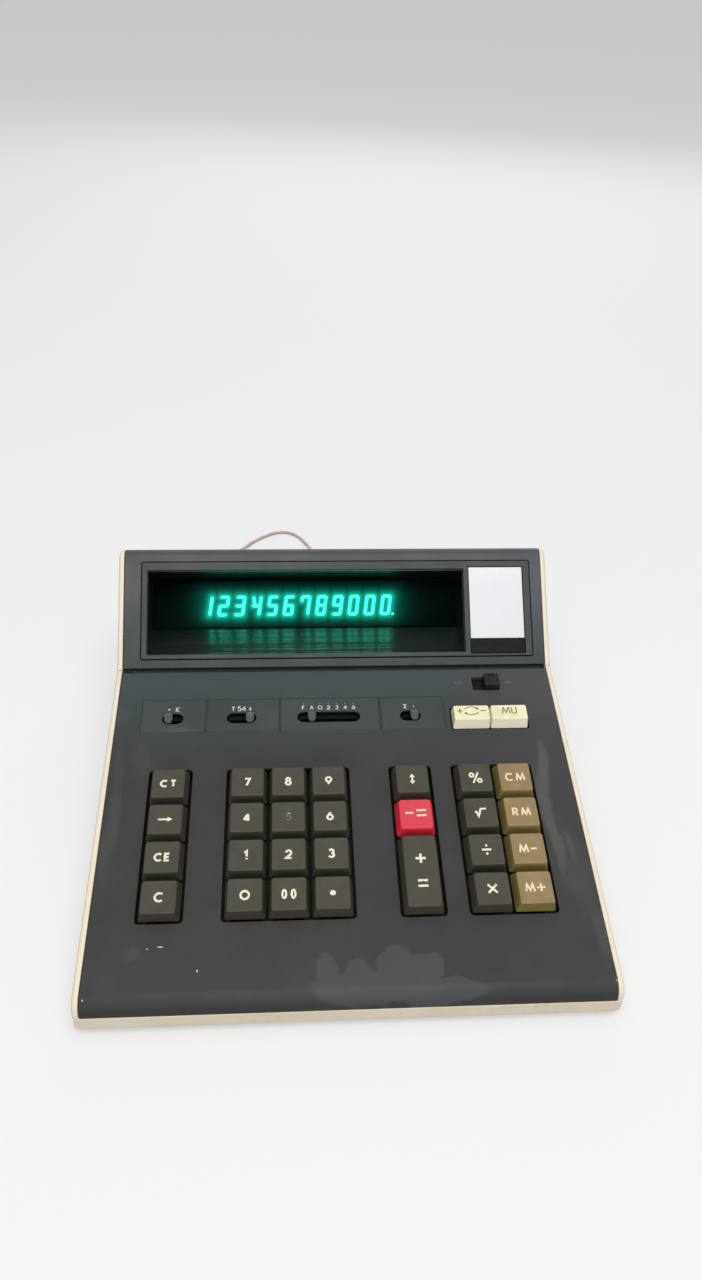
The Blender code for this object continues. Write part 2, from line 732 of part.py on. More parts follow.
def make_lower_case(material):
    """The tray: floor, low walls, posts for the logic board, holes for feet and screws."""
    front, rear = CREASE_Y - FRONT_REACH, CREASE_Y + BACK_REACH
    top = CREASE_HEIGHT + PARTING - FIT
    case = prisms(
        "lower_case", [plan_rings(rectangle(-HALF, HALF, front, rear), FLOOR_HEIGHT, top)], material,
    )

    round_edges(case, lambda one, two: abs(one.z - two.z) > FIT, EDGE_ROUND)
    round_edges(case, lambda one, two: max(one.z, two.z) < FLOOR_HEIGHT + FIT, FLOOR_ROUND)

    inner_floor = FLOOR_HEIGHT + CASE_WALL
    hollow = rectangle(-INSIDE, INSIDE, front + CASE_WALL, rear - CASE_WALL)
    cut(case, prisms("lower_hollow", [plan_rings(hollow, inner_floor, top + OVERRUN)]))

    posts = [
        plan_rings(disc(LOGIC_POST_RADIUS, x, y), inner_floor - BITE, LOGIC_HEIGHT - FIT)
        for x, y in logic_post_places()
    ]
    join(case, prisms("logic_posts", posts))

    holes = [
        plan_rings(disc(FOOT_STUD + FIT, x, y), FLOOR_HEIGHT - OVERRUN, inner_floor + OVERRUN)
        for x, y in foot_places().values()
    ]
    cut(case, prisms("foot_holes", holes))

    screw_x = HALF - SCREW_INSET_X
    recess_top = FLOOR_HEIGHT + SCREW_RECESS_DEPTH
    recesses = [
        plan_rings(disc(SCREW_RECESS, x, y), FLOOR_HEIGHT - OVERRUN, recess_top)
        for x in (-screw_x, screw_x)
        for y in (front + SCREW_INSET_Y, rear - SCREW_INSET_Y)
    ]
    cut(case, prisms("screw_recesses", recesses))
    return smooth(case)


def make_foot(name, x, y, material):
    """A turned rubber foot whose stud is pressed through the floor."""
    under = FLOOR_HEIGHT - FIT
    neck_top = FLOOR_HEIGHT + CASE_WALL + FIT
    profile = [
        (FOOT_RADIUS - FOOT_GRIP, 0),
        (FOOT_RADIUS, FOOT_GRIP),
        (FOOT_RADIUS, under),
        (FOOT_STUD, under),
        (FOOT_STUD, neck_top),
        (FOOT_HEAD, neck_top),
        (FOOT_STUD, neck_top + FOOT_HEAD_HEIGHT),
    ]
    rings = [[(px, py, z) for px, py in disc(radius, sides=FOOT_SIDES)] for radius, z in profile]
    foot = loft(name, rings, material)
    foot.location = (x, y, 0)
    return smooth(foot)


# Keyboard panel and what shows through it

def cluster_columns(middle, columns):
    return [middle + (i - (columns - 1) / 2) * KEY_PITCH for i in range(columns)]


def row_y(row):
    return FIRST_ROW_Y - row * KEY_PITCH


def slot_length(positions):
    return 2 * KNOB_ROOM + (positions - 1) * DETENT


# name, middle of the slot, number of positions, position at rest
SLIDERS = (
    ("constant_slider", INSIDE * CONSTANT_SLOT_SHARE, 2, 0),
    ("rounding_slider", INSIDE * ROUNDING_SLOT_SHARE, 3, 2),
    ("decimal_slider", INSIDE * DECIMAL_SLOT_SHARE, 7, 1),
    ("total_slider", INSIDE * TOTAL_SLOT_SHARE, 2, 1),
)

# middle of the cluster, columns
CLUSTERS = ((FUNCTION_KEYS_X, 1), (NUMBER_KEYS_X, 3), (TOTAL_KEYS_X, 1), (MEMORY_KEYS_X, 2))


def panel_post_places():
    """Posts under the panel that carry the key frame."""
    between_left = (FUNCTION_KEYS_X + NUMBER_KEYS_X - KEY_PITCH) / 2
    between_right = (NUMBER_KEYS_X + KEY_PITCH + TOTAL_KEYS_X) / 2
    side = INSIDE * SIDE_POSTS_SHARE
    xs = (-side, between_left, between_right, side)
    return [(x, y) for x in xs for y in (FRONT_POSTS_Y, MIDDLE_POSTS_Y)]


def switch_post_places():
    beside_power = (POWER_X - POWER_POST_REACH, POWER_X + POWER_POST_REACH)
    return [(x, SLOT_Y) for x in CELL_EDGES_X] + [(x, POWER_Y) for x in beside_power]


def make_keyboard_panel(axes, material):
    """The sloping panel with its curled nose, openings, label bed, slots and posts."""
    centre = (-PANEL_REACH, -NOSE_RADIUS)
    curl_end = 2 * QUARTER - PANEL_SLOPE
    outline = [(-GROOVE, 0)]
    outline += arc(centre, NOSE_RADIUS, QUARTER, curl_end)
    outline += arc(centre, NOSE_RADIUS - PANEL_WALL, curl_end, QUARTER)
    outline += [(-GROOVE, -PANEL_WALL)]
    side = INSIDE - FIT
    panel = prisms("keyboard_panel", [section_rings(outline, -side, side)], material)
    put(panel, axes)

    through = (-PANEL_WALL - OVERRUN, OVERRUN)
    openings = []
    length = KEY_ROWS * KEY_PITCH + 2 * OPENING_SIDE
    cluster_y = (row_y(0) + row_y(KEY_ROWS - 1)) / 2
    for middle, columns in CLUSTERS:
        width = columns * KEY_PITCH + 2 * OPENING_SIDE
        shape = middled(width, length, OPENING_RADIUS, middle, cluster_y)
        openings.append(plan_rings(shape, *through))
    pale = middled(
        PALE_PITCH + PALE_WIDTH + 2 * PALE_OPENING_SIDE, PALE_LENGTH + 2 * PALE_OPENING_SIDE,
        OPENING_RADIUS / 2, PALE_KEYS_X, PALE_KEYS_Y,
    )
    openings.append(plan_rings(pale, *through))
    power = middled(POWER_SLOT, POWER_SLOT_WIDTH, POWER_CORNER, POWER_X, POWER_Y)
    openings.append(plan_rings(power, *through))
    cut(panel, put(prisms("panel_openings", openings), axes))

    bed = rectangle(LABEL_LEFT, LABEL_RIGHT, LABEL_FRONT_Y, LABEL_REAR_Y)
    bed_floor = -LABEL_SINK - LABEL_THICK - FIT
    cut(panel, put(prisms("label_bed", [plan_rings(bed, bed_floor, OVERRUN)]), axes))

    slots = []
    width = SLOT_WIDTH + 2 * SLOT_FLARE
    for _, x, positions, _ in SLIDERS:
        length = slot_length(positions) + 2 * SLOT_FLARE
        slots.append(plan_rings(middled(length, width, width / 2, x, SLOT_Y, ROLL_STEPS // 2), *through))
    cut(panel, put(prisms("panel_slots", slots), axes))

    post_top = -PANEL_WALL + BITE
    posts = [plan_rings(disc(POST_RADIUS, x, y), FRAME_TOP + FIT, post_top) for x, y in panel_post_places()]
    posts += [
        plan_rings(disc(POST_RADIUS, x, y), SWITCH_BOARD_TOP + FIT, post_top)
        for x, y in switch_post_places()
    ]
    join(panel, put(prisms("panel_posts", posts), axes))
    return smooth(panel)


def make_switch_label(axes, material):
    """The thin label strip in its bed, with the slots and the lines between its cells."""
    edge = rectangle(LABEL_LEFT + FIT, LABEL_RIGHT - FIT, LABEL_FRONT_Y + FIT, LABEL_REAR_Y - FIT)
    top = -LABEL_SINK
    label = prisms("switch_label", [plan_rings(edge, top - LABEL_THICK, top)], material)
    put(label, axes)
    slots = [
        plan_rings(
            middled(slot_length(positions), SLOT_WIDTH, SLOT_WIDTH / 2, x, SLOT_Y, ROLL_STEPS // 2),
            top - LABEL_THICK - OVERRUN, top + OVERRUN,
        )
        for _, x, positions, _ in SLIDERS
    ]
    cut(label, put(prisms("label_slots", slots), axes))
    lines = [
        plan_rings(
            rectangle(x - LABEL_GROOVE / 2, x + LABEL_GROOVE / 2, LABEL_FRONT_Y, LABEL_REAR_Y),
            top - LABEL_GROOVE_DEPTH, top + OVERRUN,
        )
        for x in CELL_EDGES_X
    ]
    cut(label, put(prisms("label_lines", lines), axes))
    return label


# Keys

def key_rings(width, length, rise, side_taper, front_taper, back_taper):
    """The rings of a hollow keycap with its stem, from the top round the skirt to the stem."""
    def ring(grow_x, grow_front, grow_back, radius, z):
        shape = rounded(
            -width / 2 - grow_x, width / 2 + grow_x,
            -length / 2 - grow_front, length / 2 + grow_back, radius,
        )
        return [(x, y, z) for x, y in shape]

    def skirt(share, inside, radius, z):
        return ring(
            -side_taper * share - inside, -front_taper * share - inside,
            -back_taper * share - inside, radius, z,
        )

    drop = rise + KEY_SINK
    edge_share = 1 - KEY_EDGE / drop
    roof = rise - KEY_ROOF
    roof_share = (roof + KEY_SINK) / drop
    inner_corner = KEY_CORNER / 2
    stem = [(x, y) for x, y in middled(STEM, STEM, inner_corner / 2)]
    foot = FRAME_TOP - STEM_REST
    return [
        skirt(1, KEY_EDGE, KEY_CORNER, rise),
        skirt(edge_share, KEY_EDGE / 4, KEY_CORNER, rise - KEY_EDGE / 3),
        skirt(edge_share, 0, KEY_CORNER, rise - KEY_EDGE),
        skirt(0, 0, KEY_CORNER, -KEY_SINK),
        skirt(0, KEY_WALL, inner_corner, -KEY_SINK),
        skirt(roof_share, KEY_WALL, inner_corner, roof),
        [(x, y, roof) for x, y in stem],
        [(x, y, foot) for x, y in stem],
    ]


def make_key(name, x, y, axes, material, length=KEY_BASE):
    rings = key_rings(
        KEY_BASE, length, KEY_RISE, KEY_TAPER, KEY_TAPER - KEY_LEAN, KEY_TAPER + KEY_LEAN,
    )
    key = loft(name, rings, material)
    return smooth(put(key, axes, (x, y, 0)))


def make_pale_key(name, x, axes, material):
    rings = key_rings(
        PALE_WIDTH, PALE_LENGTH, PALE_RISE, PALE_SIDE_TAPER, PALE_FRONT_TAPER, PALE_FRONT_TAPER,
    )
    return smooth(put(loft(name, rings, material), axes, (x, PALE_KEYS_Y, 0)))


# each cluster's keys, column by column from the rear row; the colour is a material's name
FUNCTION_KEYS = (("key_clear_total", "key_step_back", "key_clear_entry", "key_clear"),)
NUMBER_KEYS = (
    ("key_7", "key_4", "key_1", "key_0"),
    ("key_8", "key_5", "key_2", "key_double_0"),
    ("key_9", "key_6", "key_3", "key_point"),
)
OPERATOR_KEYS = ("key_percent", "key_root", "key_divide", "key_multiply")
MEMORY_KEYS = ("key_memory_clear", "key_memory_recall", "key_memory_minus", "key_memory_plus")


def key_columns():
    """(x, names, colour) for every column of four single keys."""
    columns = []
    for x, names in zip(cluster_columns(FUNCTION_KEYS_X, 1), FUNCTION_KEYS):
        columns.append((x, names, "dark_key"))
    for x, names in zip(cluster_columns(NUMBER_KEYS_X, 3), NUMBER_KEYS):
        columns.append((x, names, "dark_key"))
    operator_x, memory_x = cluster_columns(MEMORY_KEYS_X, 2)
    columns.append((operator_x, OPERATOR_KEYS, "dark_key"))
    columns.append((memory_x, MEMORY_KEYS, "khaki_key"))
    return columns


def pale_key_places():
    return {
        "key_sign_change": PALE_KEYS_X - PALE_PITCH / 2,
        "key_mark_up": PALE_KEYS_X + PALE_PITCH / 2,
    }


def key_places():
    """The middle of every key, for the keys and for their guides."""
    places = [(x, row_y(row)) for x, names, _ in key_columns() for row in range(len(names))]
    places += [(TOTAL_KEYS_X, row_y(0)), (TOTAL_KEYS_X, row_y(1)), (TOTAL_KEYS_X, tall_key_y())]
    places += [(x, PALE_KEYS_Y) for x in pale_key_places().values()]
    return places


def tall_key_y():
    return (row_y(KEY_ROWS - 2) + row_y(KEY_ROWS - 1)) / 2


def make_keys(axes, look):
    for x, names, colour in key_columns():
        for row, name in enumerate(names):
            make_key(name, x, row_y(row), axes, look[colour])
    make_key("key_exchange", TOTAL_KEYS_X, row_y(0), axes, look["dark_key"])
    make_key("key_minus_equals", TOTAL_KEYS_X, row_y(1), axes, look["red_key"])
    make_key(
        "key_plus_equals", TOTAL_KEYS_X, tall_key_y(), axes, look["dark_key"], KEY_BASE + KEY_PITCH,
    )
    for name, x in pale_key_places().items():
        make_pale_key(name, x, axes, look["pale_key"])


# Sliders

def make_slider(name, slot_x, positions, rest, axes, material):
    """A smoked knob that fills its slot's width, on a stem that runs down into the switch."""
    first = slot_x - (positions - 1) * DETENT / 2
    stem_foot = SWITCH_BOARD_TOP + SWITCH_WALL + FIT
    knob = middled(KNOB_LENGTH, KNOB_WIDTH, KNOB_CORNER)
    top = middled(KNOB_LENGTH - 2 * KNOB_RISE / 4, KNOB_WIDTH - 2 * KNOB_RISE / 4, KNOB_CORNER)
    stem = middled(KNOB_STEM, KNOB_STEM, KNOB_STEM / 4)
    under = -PANEL_WALL
    rings = [
        [(x, y, KNOB_RISE) for x, y in top],
        [(x, y, KNOB_RISE / 2) for x, y in knob],
        [(x, y, under) for x, y in knob],
        [(x, y, under) for x, y in stem],
        [(x, y, stem_foot) for x, y in stem],
    ]
    slider = loft(name, rings, material)
    return smooth(put(slider, axes, (first + rest * DETENT, SLOT_Y, 0)))


def power_travel():
    return POWER_SLOT - POWER_HEAD - 2 * FIT


def make_power_slider(axes, material):
    """The black power knob: a block with a finger hollow, on a stem into its switch."""
    head = middled(POWER_HEAD, POWER_HEAD_WIDTH, POWER_CORNER)
    inset = POWER_CORNER / 2
    crown = middled(POWER_HEAD - inset, POWER_HEAD_WIDTH - inset, POWER_CORNER)
    stem = middled(KNOB_STEM, KNOB_STEM, KNOB_STEM / 4)
    stem_foot = SWITCH_BOARD_TOP + SWITCH_WALL + FIT
    rings = [
        [(x, y, POWER_RISE) for x, y in crown],
        [(x, y, POWER_RISE - inset) for x, y in head],
        [(x, y, -PANEL_WALL) for x, y in head],
        [(x, y, -PANEL_WALL) for x, y in stem],
        [(x, y, stem_foot) for x, y in stem],
    ]
    slider = loft("power_slider", rings, material)
    at_rest = (POWER_X + power_travel() / 2, POWER_Y, 0)
    put(slider, axes, at_rest)
    side = POWER_HEAD_WIDTH / 2 + OVERRUN
    half = POWER_HEAD / 4
    hollow = [(half, POWER_RISE), (0, POWER_RISE - POWER_DISH), (-half, POWER_RISE), (0, POWER_RISE + half)]
    dish = loft("power_dish", [[(x, y, z) for x, z in hollow] for y in (-side, side)])
    cut(slider, put(dish, axes, at_rest))
    return smooth(slider)


# Works under the panel

def frame_outline(inset=0):
    """The key frame's outline: the main field and an arm under the pale keys."""
    left, right = -FRAME_SIDE + inset, FRAME_SIDE - inset
    front, rear = FRAME_FRONT_Y + inset, FRAME_REAR_Y - inset
    arm_x, arm_y = FRAME_ARM_X + inset, FRAME_ARM_Y - inset
    return [(left, front), (right, front), (right, arm_y), (arm_x, arm_y), (arm_x, rear), (left, rear)]


def make_key_frame(axes, material):
    """The plate with a square guide round each key's stem."""
    plate_foot = FRAME_TOP - FRAME_THICK
    frame = prisms("key_frame", [plan_rings(frame_outline(), plate_foot, FRAME_TOP)], material)
    put(frame, axes)
    guides = [
        plan_rings(middled(GUIDE, min(GUIDE, PALE_LENGTH), KEY_CORNER / 2, x, y, 1), FRAME_TOP - BITE, GUIDE_TOP)
        for x, y in key_places()
    ]
    join(frame, put(prisms("key_guides", guides), axes))
    studs = [
        plan_rings(disc(POST_RADIUS, x, y), plate_foot - CONTACT_GAP + FIT, plate_foot + BITE)
        for x, y in panel_post_places()
    ]
    join(frame, put(prisms("frame_studs", studs), axes))
    bore = STEM + 2 * STEM_FIT
    bores = [
        plan_rings(
            rectangle(x - bore / 2, x + bore / 2, y - bore / 2, y + bore / 2),
            plate_foot - OVERRUN, GUIDE_TOP + OVERRUN,
        )
        for x, y in key_places()
    ]
    return cut(frame, put(prisms("stem_bores", bores), axes))


def make_contact_board(axes, material):
    top = FRAME_TOP - FRAME_THICK - CONTACT_GAP
    outline = frame_outline(KEY_CORNER)
    board = prisms("contact_board", [plan_rings(outline, top - CONTACT_THICK, top)], material)
    return put(board, axes)


def make_switch_bank(axes, material):
    """A narrow board with the five switch bodies, open on top where the stems slide."""
    foot = SWITCH_BOARD_TOP - SWITCH_BOARD_THICK
    outline = [
        (SWITCH_BOARD_LEFT, SWITCH_BOARD_FRONT_Y),
        (SWITCH_BOARD_RIGHT, SWITCH_BOARD_FRONT_Y),
        (SWITCH_BOARD_RIGHT, SWITCH_ARM_FRONT_Y),
        (SWITCH_ARM_RIGHT, SWITCH_ARM_FRONT_Y),
        (SWITCH_ARM_RIGHT, SWITCH_BOARD_REAR_Y),
        (SWITCH_BOARD_LEFT, SWITCH_BOARD_REAR_Y),
    ]
    bank = prisms("switch_bank", [plan_rings(outline, foot, SWITCH_BOARD_TOP)], material)
    put(bank, axes)

    travels = [(x, SLOT_Y, (positions - 1) * DETENT) for _, x, positions, _ in SLIDERS]
    travels.append((POWER_X, POWER_Y, power_travel()))
    bodies, pockets = [], []
    for x, y, travel in travels:
        pocket = (travel + KNOB_STEM + 2 * FIT, KNOB_STEM + 2 * FIT)
        body = middled(pocket[0] + 2 * SWITCH_WALL, SWITCH_WIDTH, SWITCH_WALL / 4, x, y, 1)
        bodies.append(plan_rings(body, SWITCH_BOARD_TOP - BITE, SWITCH_TOP))
        hole = rectangle(x - pocket[0] / 2, x + pocket[0] / 2, y - pocket[1] / 2, y + pocket[1] / 2)
        pockets.append(plan_rings(hole, SWITCH_BOARD_TOP + SWITCH_WALL, SWITCH_TOP + OVERRUN))
    join(bank, put(prisms("switch_bodies", bodies), axes))
    return cut(bank, put(prisms("switch_pockets", pockets), axes))


# Hood and display

def make_hood_shell(axes, material):
    """The charcoal face that rolls over the ridge and a little way down the back."""
    centre = (ROLL_START, -RIDGE_RADIUS)
    roll_end = BACK_ANGLE - FACE_SLOPE
    down = (math.cos(roll_end - QUARTER), math.sin(roll_end - QUARTER))

    def wrapped(radius):
        """The shell's rear edge, straight on from the end of the roll."""
        end = arc(centre, radius, QUARTER, roll_end)[-1]
        return end[0] + down[0] * HOOD_WRAP, end[1] + down[1] * HOOD_WRAP

    inner = RIDGE_RADIUS - HOOD_WALL
    outline = [(HOOD_FOOT, 0)]
    outline += arc(centre, RIDGE_RADIUS, QUARTER, roll_end)
    outline += [wrapped(RIDGE_RADIUS), wrapped(inner)]
    outline += arc(centre, inner, roll_end, QUARTER)
    outline += [(HOOD_FOOT, -HOOD_WALL)]
    side = INSIDE - FIT
    shell = prisms("hood_shell", [section_rings(outline, -side, side)], material)
    put(shell, axes)
    aperture = rounded(
        APERTURE_LEFT, APERTURE_RIGHT, APERTURE_LOW, APERTURE_HIGH, APERTURE_RADIUS,
    )
    hole = plan_rings(aperture, -HOOD_WALL - OVERRUN, OVERRUN)
    cut(shell, put(prisms("hood_aperture", [hole]), axes))
    return smooth(shell)


def make_bezel(axes, material):
    """The frame in the aperture, with the window, a bed for the plate and the bar between."""
    edge = rounded(
        APERTURE_LEFT + BEZEL_FIT, APERTURE_RIGHT - BEZEL_FIT,
        APERTURE_LOW + BEZEL_FIT, APERTURE_HIGH - BEZEL_FIT, APERTURE_RADIUS - BEZEL_FIT / 2,
    )
    foot = BEZEL_PROUD - BEZEL_THICK
    bezel = prisms("display_bezel", [plan_rings(edge, foot, BEZEL_PROUD)], material)
    put(bezel, axes)
    window = rectangle(WINDOW_LEFT, WINDOW_RIGHT, WINDOW_LOW, WINDOW_HIGH)
    bed = rectangle(PLATE_LEFT, PLATE_RIGHT, PLATE_LOW, PLATE_HIGH)
    cuts = [
        plan_rings(window, foot - OVERRUN, BEZEL_PROUD + OVERRUN),
        plan_rings(bed, BEZEL_PROUD - PLATE_SINK, BEZEL_PROUD + OVERRUN),
    ]
    return cut(bezel, put(prisms("bezel_cuts", cuts), axes))


def make_name_plate(axes, material):
    """The bright plate, bare; the dark strip under it is the bezel's own bed."""
    floor = BEZEL_PROUD - PLATE_SINK + FIT
    edge = rectangle(
        PLATE_LEFT + PLATE_FIT, PLATE_RIGHT - PLATE_FIT,
        PLATE_LOW + STRIP_HEIGHT, PLATE_HIGH - PLATE_FIT,
    )
    return put(prisms("bright_plate", [plan_rings(edge, floor, floor + PLATE_THICK)], material), axes)


def make_shadow_box(axes, material):
    """The black box behind the window: a flange, four walls drawn in to the filter, two brackets."""
    front = BEZEL_PROUD - BEZEL_THICK - FIT
    flange = front - BOX_FLANGE
    seat = -FILTER_DEPTH
    back = seat - FILTER_THICK - FIT

    def ring(left, right, low, high, z):
        return [(x, y, z) for x, y in rectangle(left, right, low, high)]

    def along(depth, grow):
        """The box's inside at a depth, grown by a wall."""
        share = (depth - front) / (seat - front)
        low = WINDOW_LOW + (FILTER_LOW - WINDOW_LOW) * share
        high = WINDOW_HIGH + (FILTER_HIGH - WINDOW_HIGH) * share
        return ring(WINDOW_LEFT - grow, WINDOW_RIGHT + grow, low - grow, high + grow, depth)

    def at_filter(grow, depth):
        return ring(
            WINDOW_LEFT - grow, WINDOW_RIGHT + grow, FILTER_LOW - grow, FILTER_HIGH + grow, depth,
        )

    lap = FILTER_LAP + FIT
    outer = lap + BOX_WALL
    edge = (
        APERTURE_LEFT - BOX_FLANGE_REACH, APERTURE_RIGHT + BOX_FLANGE_REACH,
        APERTURE_LOW - BOX_FLANGE_DROP, APERTURE_HIGH + BOX_FLANGE_LIFT,
    )
    rings = [
        ring(*edge, front),
        ring(*edge, flange),
        along(flange, BOX_WALL),
        along(seat + BOX_WALL, outer),
        at_filter(outer, back),
        at_filter(lap, back),
        at_filter(lap, seat + FIT),
        at_filter(0, seat + FIT),
        along(front, 0),
    ]
    box = loft("shadow_box", rings, material, closed=True)
    put(box, axes)
    board_top = tube_back() - FIT
    sides = [
        (WINDOW_LEFT - outer - BRACKET, WINDOW_LEFT - outer + BITE),
        (WINDOW_RIGHT + outer - BITE, WINDOW_RIGHT + outer + BRACKET),
    ]
    middle = (BOARD_LOW + BOARD_HIGH) / 2
    half = (BOARD_HIGH - BOARD_LOW) * BRACKET_LENGTH_SHARE / 2
    brackets = [
        plan_rings(rectangle(low, high, middle - half, middle + half), board_top, seat + BOX_WALL - BITE)
        for low, high in sides
    ]
    return join(box, put(prisms("box_brackets", brackets), axes))


def tube_back():
    return -FILTER_DEPTH - FILTER_THICK - FIT - TUBE_THICK


def make_filter(axes, material):
    edge = rectangle(
        WINDOW_LEFT - FILTER_LAP, WINDOW_RIGHT + FILTER_LAP,
        FILTER_LOW - FILTER_LAP, FILTER_HIGH + FILTER_LAP,
    )
    seat = -FILTER_DEPTH
    pane = prisms("display_filter", [plan_rings(edge, seat - FILTER_THICK, seat)], material)
    return put(pane, axes)


def make_tube(axes, material):
    """The flat glass display tube with the tip where it was sealed."""
    edge = rectangle(TUBE_LEFT, TUBE_RIGHT, TUBE_LOW, TUBE_HIGH)
    top = tube_back() + TUBE_THICK
    tube = prisms("display_tube", [plan_rings(edge, tube_back() + FIT, top)], material)
    round_edges(tube, lambda one, two: True, TUBE_EDGE, 1)
    put(tube, axes)
    middle = (TUBE_LOW + TUBE_HIGH) / 2
    depth = tube_back() + TUBE_THICK / 2
    tip = [
        [(x, y, z) for y, z in disc(radius, middle, depth)]
        for radius, x in (
            (TIP_RADIUS, TUBE_RIGHT - TIP_LENGTH),
            (TIP_RADIUS, TUBE_RIGHT + TIP_LENGTH / 2),
            (TIP_RADIUS / 2, TUBE_RIGHT + TIP_LENGTH),
        )
    ]
    join(tube, put(loft("tube_tip", tip), axes))
    return smooth(tube)


def make_display_board(axes, material):
    outer = FILTER_LAP + FIT + BOX_WALL
    top = tube_back() - FIT - FIT
    edge = rectangle(
        WINDOW_LEFT - outer - BRACKET, WINDOW_RIGHT + outer + BRACKET, BOARD_LOW, BOARD_HIGH,
    )
    board = prisms("display_board", [plan_rings(edge, top - BOARD_THICK, top)], material)
    return put(board, axes)


# Works in the tray

def make_logic_board(material):
    """The main board with its chips and the smoothing capacitor's can."""
    top = LOGIC_HEIGHT + LOGIC_THICK
    front, rear = CREASE_Y - LOGIC_FRONT_REACH, CREASE_Y + BACK_REACH - LOGIC_REAR_MARGIN
    edge = rectangle(LOGIC_LEFT, LOGIC_RIGHT, front, rear)
    board = prisms("logic_board", [plan_rings(edge, LOGIC_HEIGHT, top)], material)
    middle = (LOGIC_LEFT + LOGIC_RIGHT) / 2
    chips = []
    for i in range(CHIP_COUNT):
        x = middle + (i - (CHIP_COUNT - 1) / 2) * CHIP_PITCH
        chip = middled(CHIP_LENGTH, CHIP_WIDTH, FIT, x, CREASE_Y + CHIP_REAR_REACH, 1)
        chips.append(plan_rings(chip, top - BITE, top + CHIP_HEIGHT))
    can = disc(CAN_RADIUS, INSIDE * CAN_SHARE, CREASE_Y + BACK_REACH - CAN_REAR_MARGIN, FOOT_SIDES)
    chips.append(plan_rings(can, top - BITE, top + CAN_HEIGHT))
    return join(board, prisms("board_parts", chips))


def make_transformer(material):
    """The laminated core on its strap, with the windings standing out on both sides."""
    floor = FLOOR_HEIGHT + CASE_WALL + FIT
    y = CREASE_Y + BACK_REACH - CORE_REAR_MARGIN
    core = middled(CORE_WIDTH, CORE_DEPTH, FIT, CORE_X, y, 1)
    transformer = prisms("transformer", [plan_rings(core, floor, floor + CORE_HEIGHT)], material)
    middle = floor + CORE_HEIGHT / 2
    winding = middled(
        CORE_WIDTH - 2 * COIL_OUT, CORE_DEPTH + 2 * COIL_OUT, COIL_OUT / 2, CORE_X, y,
    )
    strap = middled(CORE_WIDTH + 2 * STRAP_REACH, CORE_DEPTH / 2, FIT, CORE_X, y, 1)
    join(
        transformer,
        prisms("windings", [plan_rings(winding, middle - COIL_HEIGHT / 2, middle + COIL_HEIGHT / 2)]),
    )
    join(transformer, prisms("core_strap", [plan_rings(strap, floor, floor + STRAP_THICK)]))
    return smooth(transformer)


# Mains lead

def make_relief(material):
    """The tapered strain relief, turned about the lead, locked in the rear wall."""
    wall_out = CREASE_Y + BACK_REACH
    wall_in = wall_out - CASE_WALL
    profile = [
        (RELIEF_TIP, wall_in - RELIEF_LOCK),
        (RELIEF_BORE, wall_in - RELIEF_LOCK / 2),
        (RELIEF_BORE, wall_out + FIT),
        (RELIEF_FLANGE, wall_out + FIT),
        (RELIEF_FLANGE, wall_out + FIT + RELIEF_FLANGE_THICK),
        (RELIEF_ROOT, wall_out + FIT + RELIEF_FLANGE_THICK),
        (RELIEF_TIP, wall_out + RELIEF_TAIL),
    ]
    rings = [
        [(x, y, z) for x, z in disc(radius, RELIEF_X, RELIEF_HEIGHT, FOOT_SIDES)]
        for radius, y in profile
    ]
    return smooth(loft("lead_relief", rings, material))


def lead_route():
    """The free stretch of the lead: out of the relief, down, round and into the coil."""
    start = (RELIEF_X, CREASE_Y + BACK_REACH + RELIEF_TAIL + FIT, RELIEF_HEIGHT)
    entry_x = COIL_X - coil_radius(0)
    entry_y = COIL_Y + LEAD_DIAMETER + FIT
    run_in = (entry_x, entry_y + COIL_RUN_IN, COIL_BASE)
    return [start, *LEAD_ROUTE, run_in, (entry_x, entry_y, COIL_BASE)]


def smooth_through(points, step):
    """Points about a step apart on a smooth curve through the route's own points."""
    route = [Vector(p) for p in points]
    route = [2 * route[0] - route[1], *route, 2 * route[-1] - route[-2]]
    fine = []
    for a, b, c, d in zip(route, route[1:], route[2:], route[3:]):
        for i in range(FINE_STEPS):
            t = i / FINE_STEPS
            fine.append(
                (2 * b + (c - a) * t + (2 * a - 5 * b + 4 * c - d) * t**2
                 + (3 * b - a - 3 * c + d) * t**3) / 2
            )
    fine.append(route[-2])
    lengths = [0.0]
    for one, two in zip(fine, fine[1:]):
        lengths.append(lengths[-1] + (two - one).length)
    count = max(2, round(lengths[-1] / step))
    spaced, place = [fine[0]], 0
    for i in range(1, count):
        wanted = lengths[-1] * i / count
        while lengths[place + 1] < wanted:
            place += 1
        share = (wanted - lengths[place]) / (lengths[place + 1] - lengths[place])
        spaced.append(fine[place].lerp(fine[place + 1], share))
    spaced.append(fine[-1])
    return spaced


def spiral_turns():
    """Turns of one flat spiral: what is left once each climb has taken half a turn."""
    return (COIL_TURNS - (COIL_LAYERS - 1) / 2) / COIL_LAYERS


def coil_radius(turn):
    """The coil's radius after some turns; it spirals in and out, and holds still in each climb."""
    spread = spiral_turns() * COIL_PITCH
    outer = COIL_MIDDLE + spread / 2
    layer, part_turn = divmod(turn, spiral_turns() + 1 / 2)
    moved = min(part_turn, spiral_turns()) * COIL_PITCH
    return outer - moved if layer % 2 == 0 else outer - spread + moved


def coil_height(turn):
    layer, part_turn = divmod(turn, spiral_turns() + 1 / 2)
    climb = max(0.0, part_turn - spiral_turns()) * 2
    eased = (1 - math.cos(math.pi * climb)) / 2
    return COIL_BASE + (layer + eased) * COIL_RISE


def coil_points():
    """The lead wound in four layers, then straight on to the plug's tail."""
    count = round(COIL_TURNS * LOOP_POINTS)
    points = []
    for i in range(count + 1):
        turn = COIL_TURNS * i / count
        angle = math.pi + 2 * math.pi * turn
        radius = coil_radius(turn)
        points.append(
            Vector((
                COIL_X + radius * math.cos(angle),
                COIL_Y + radius * math.sin(angle),
                coil_height(turn),
            ))
        )
    return points


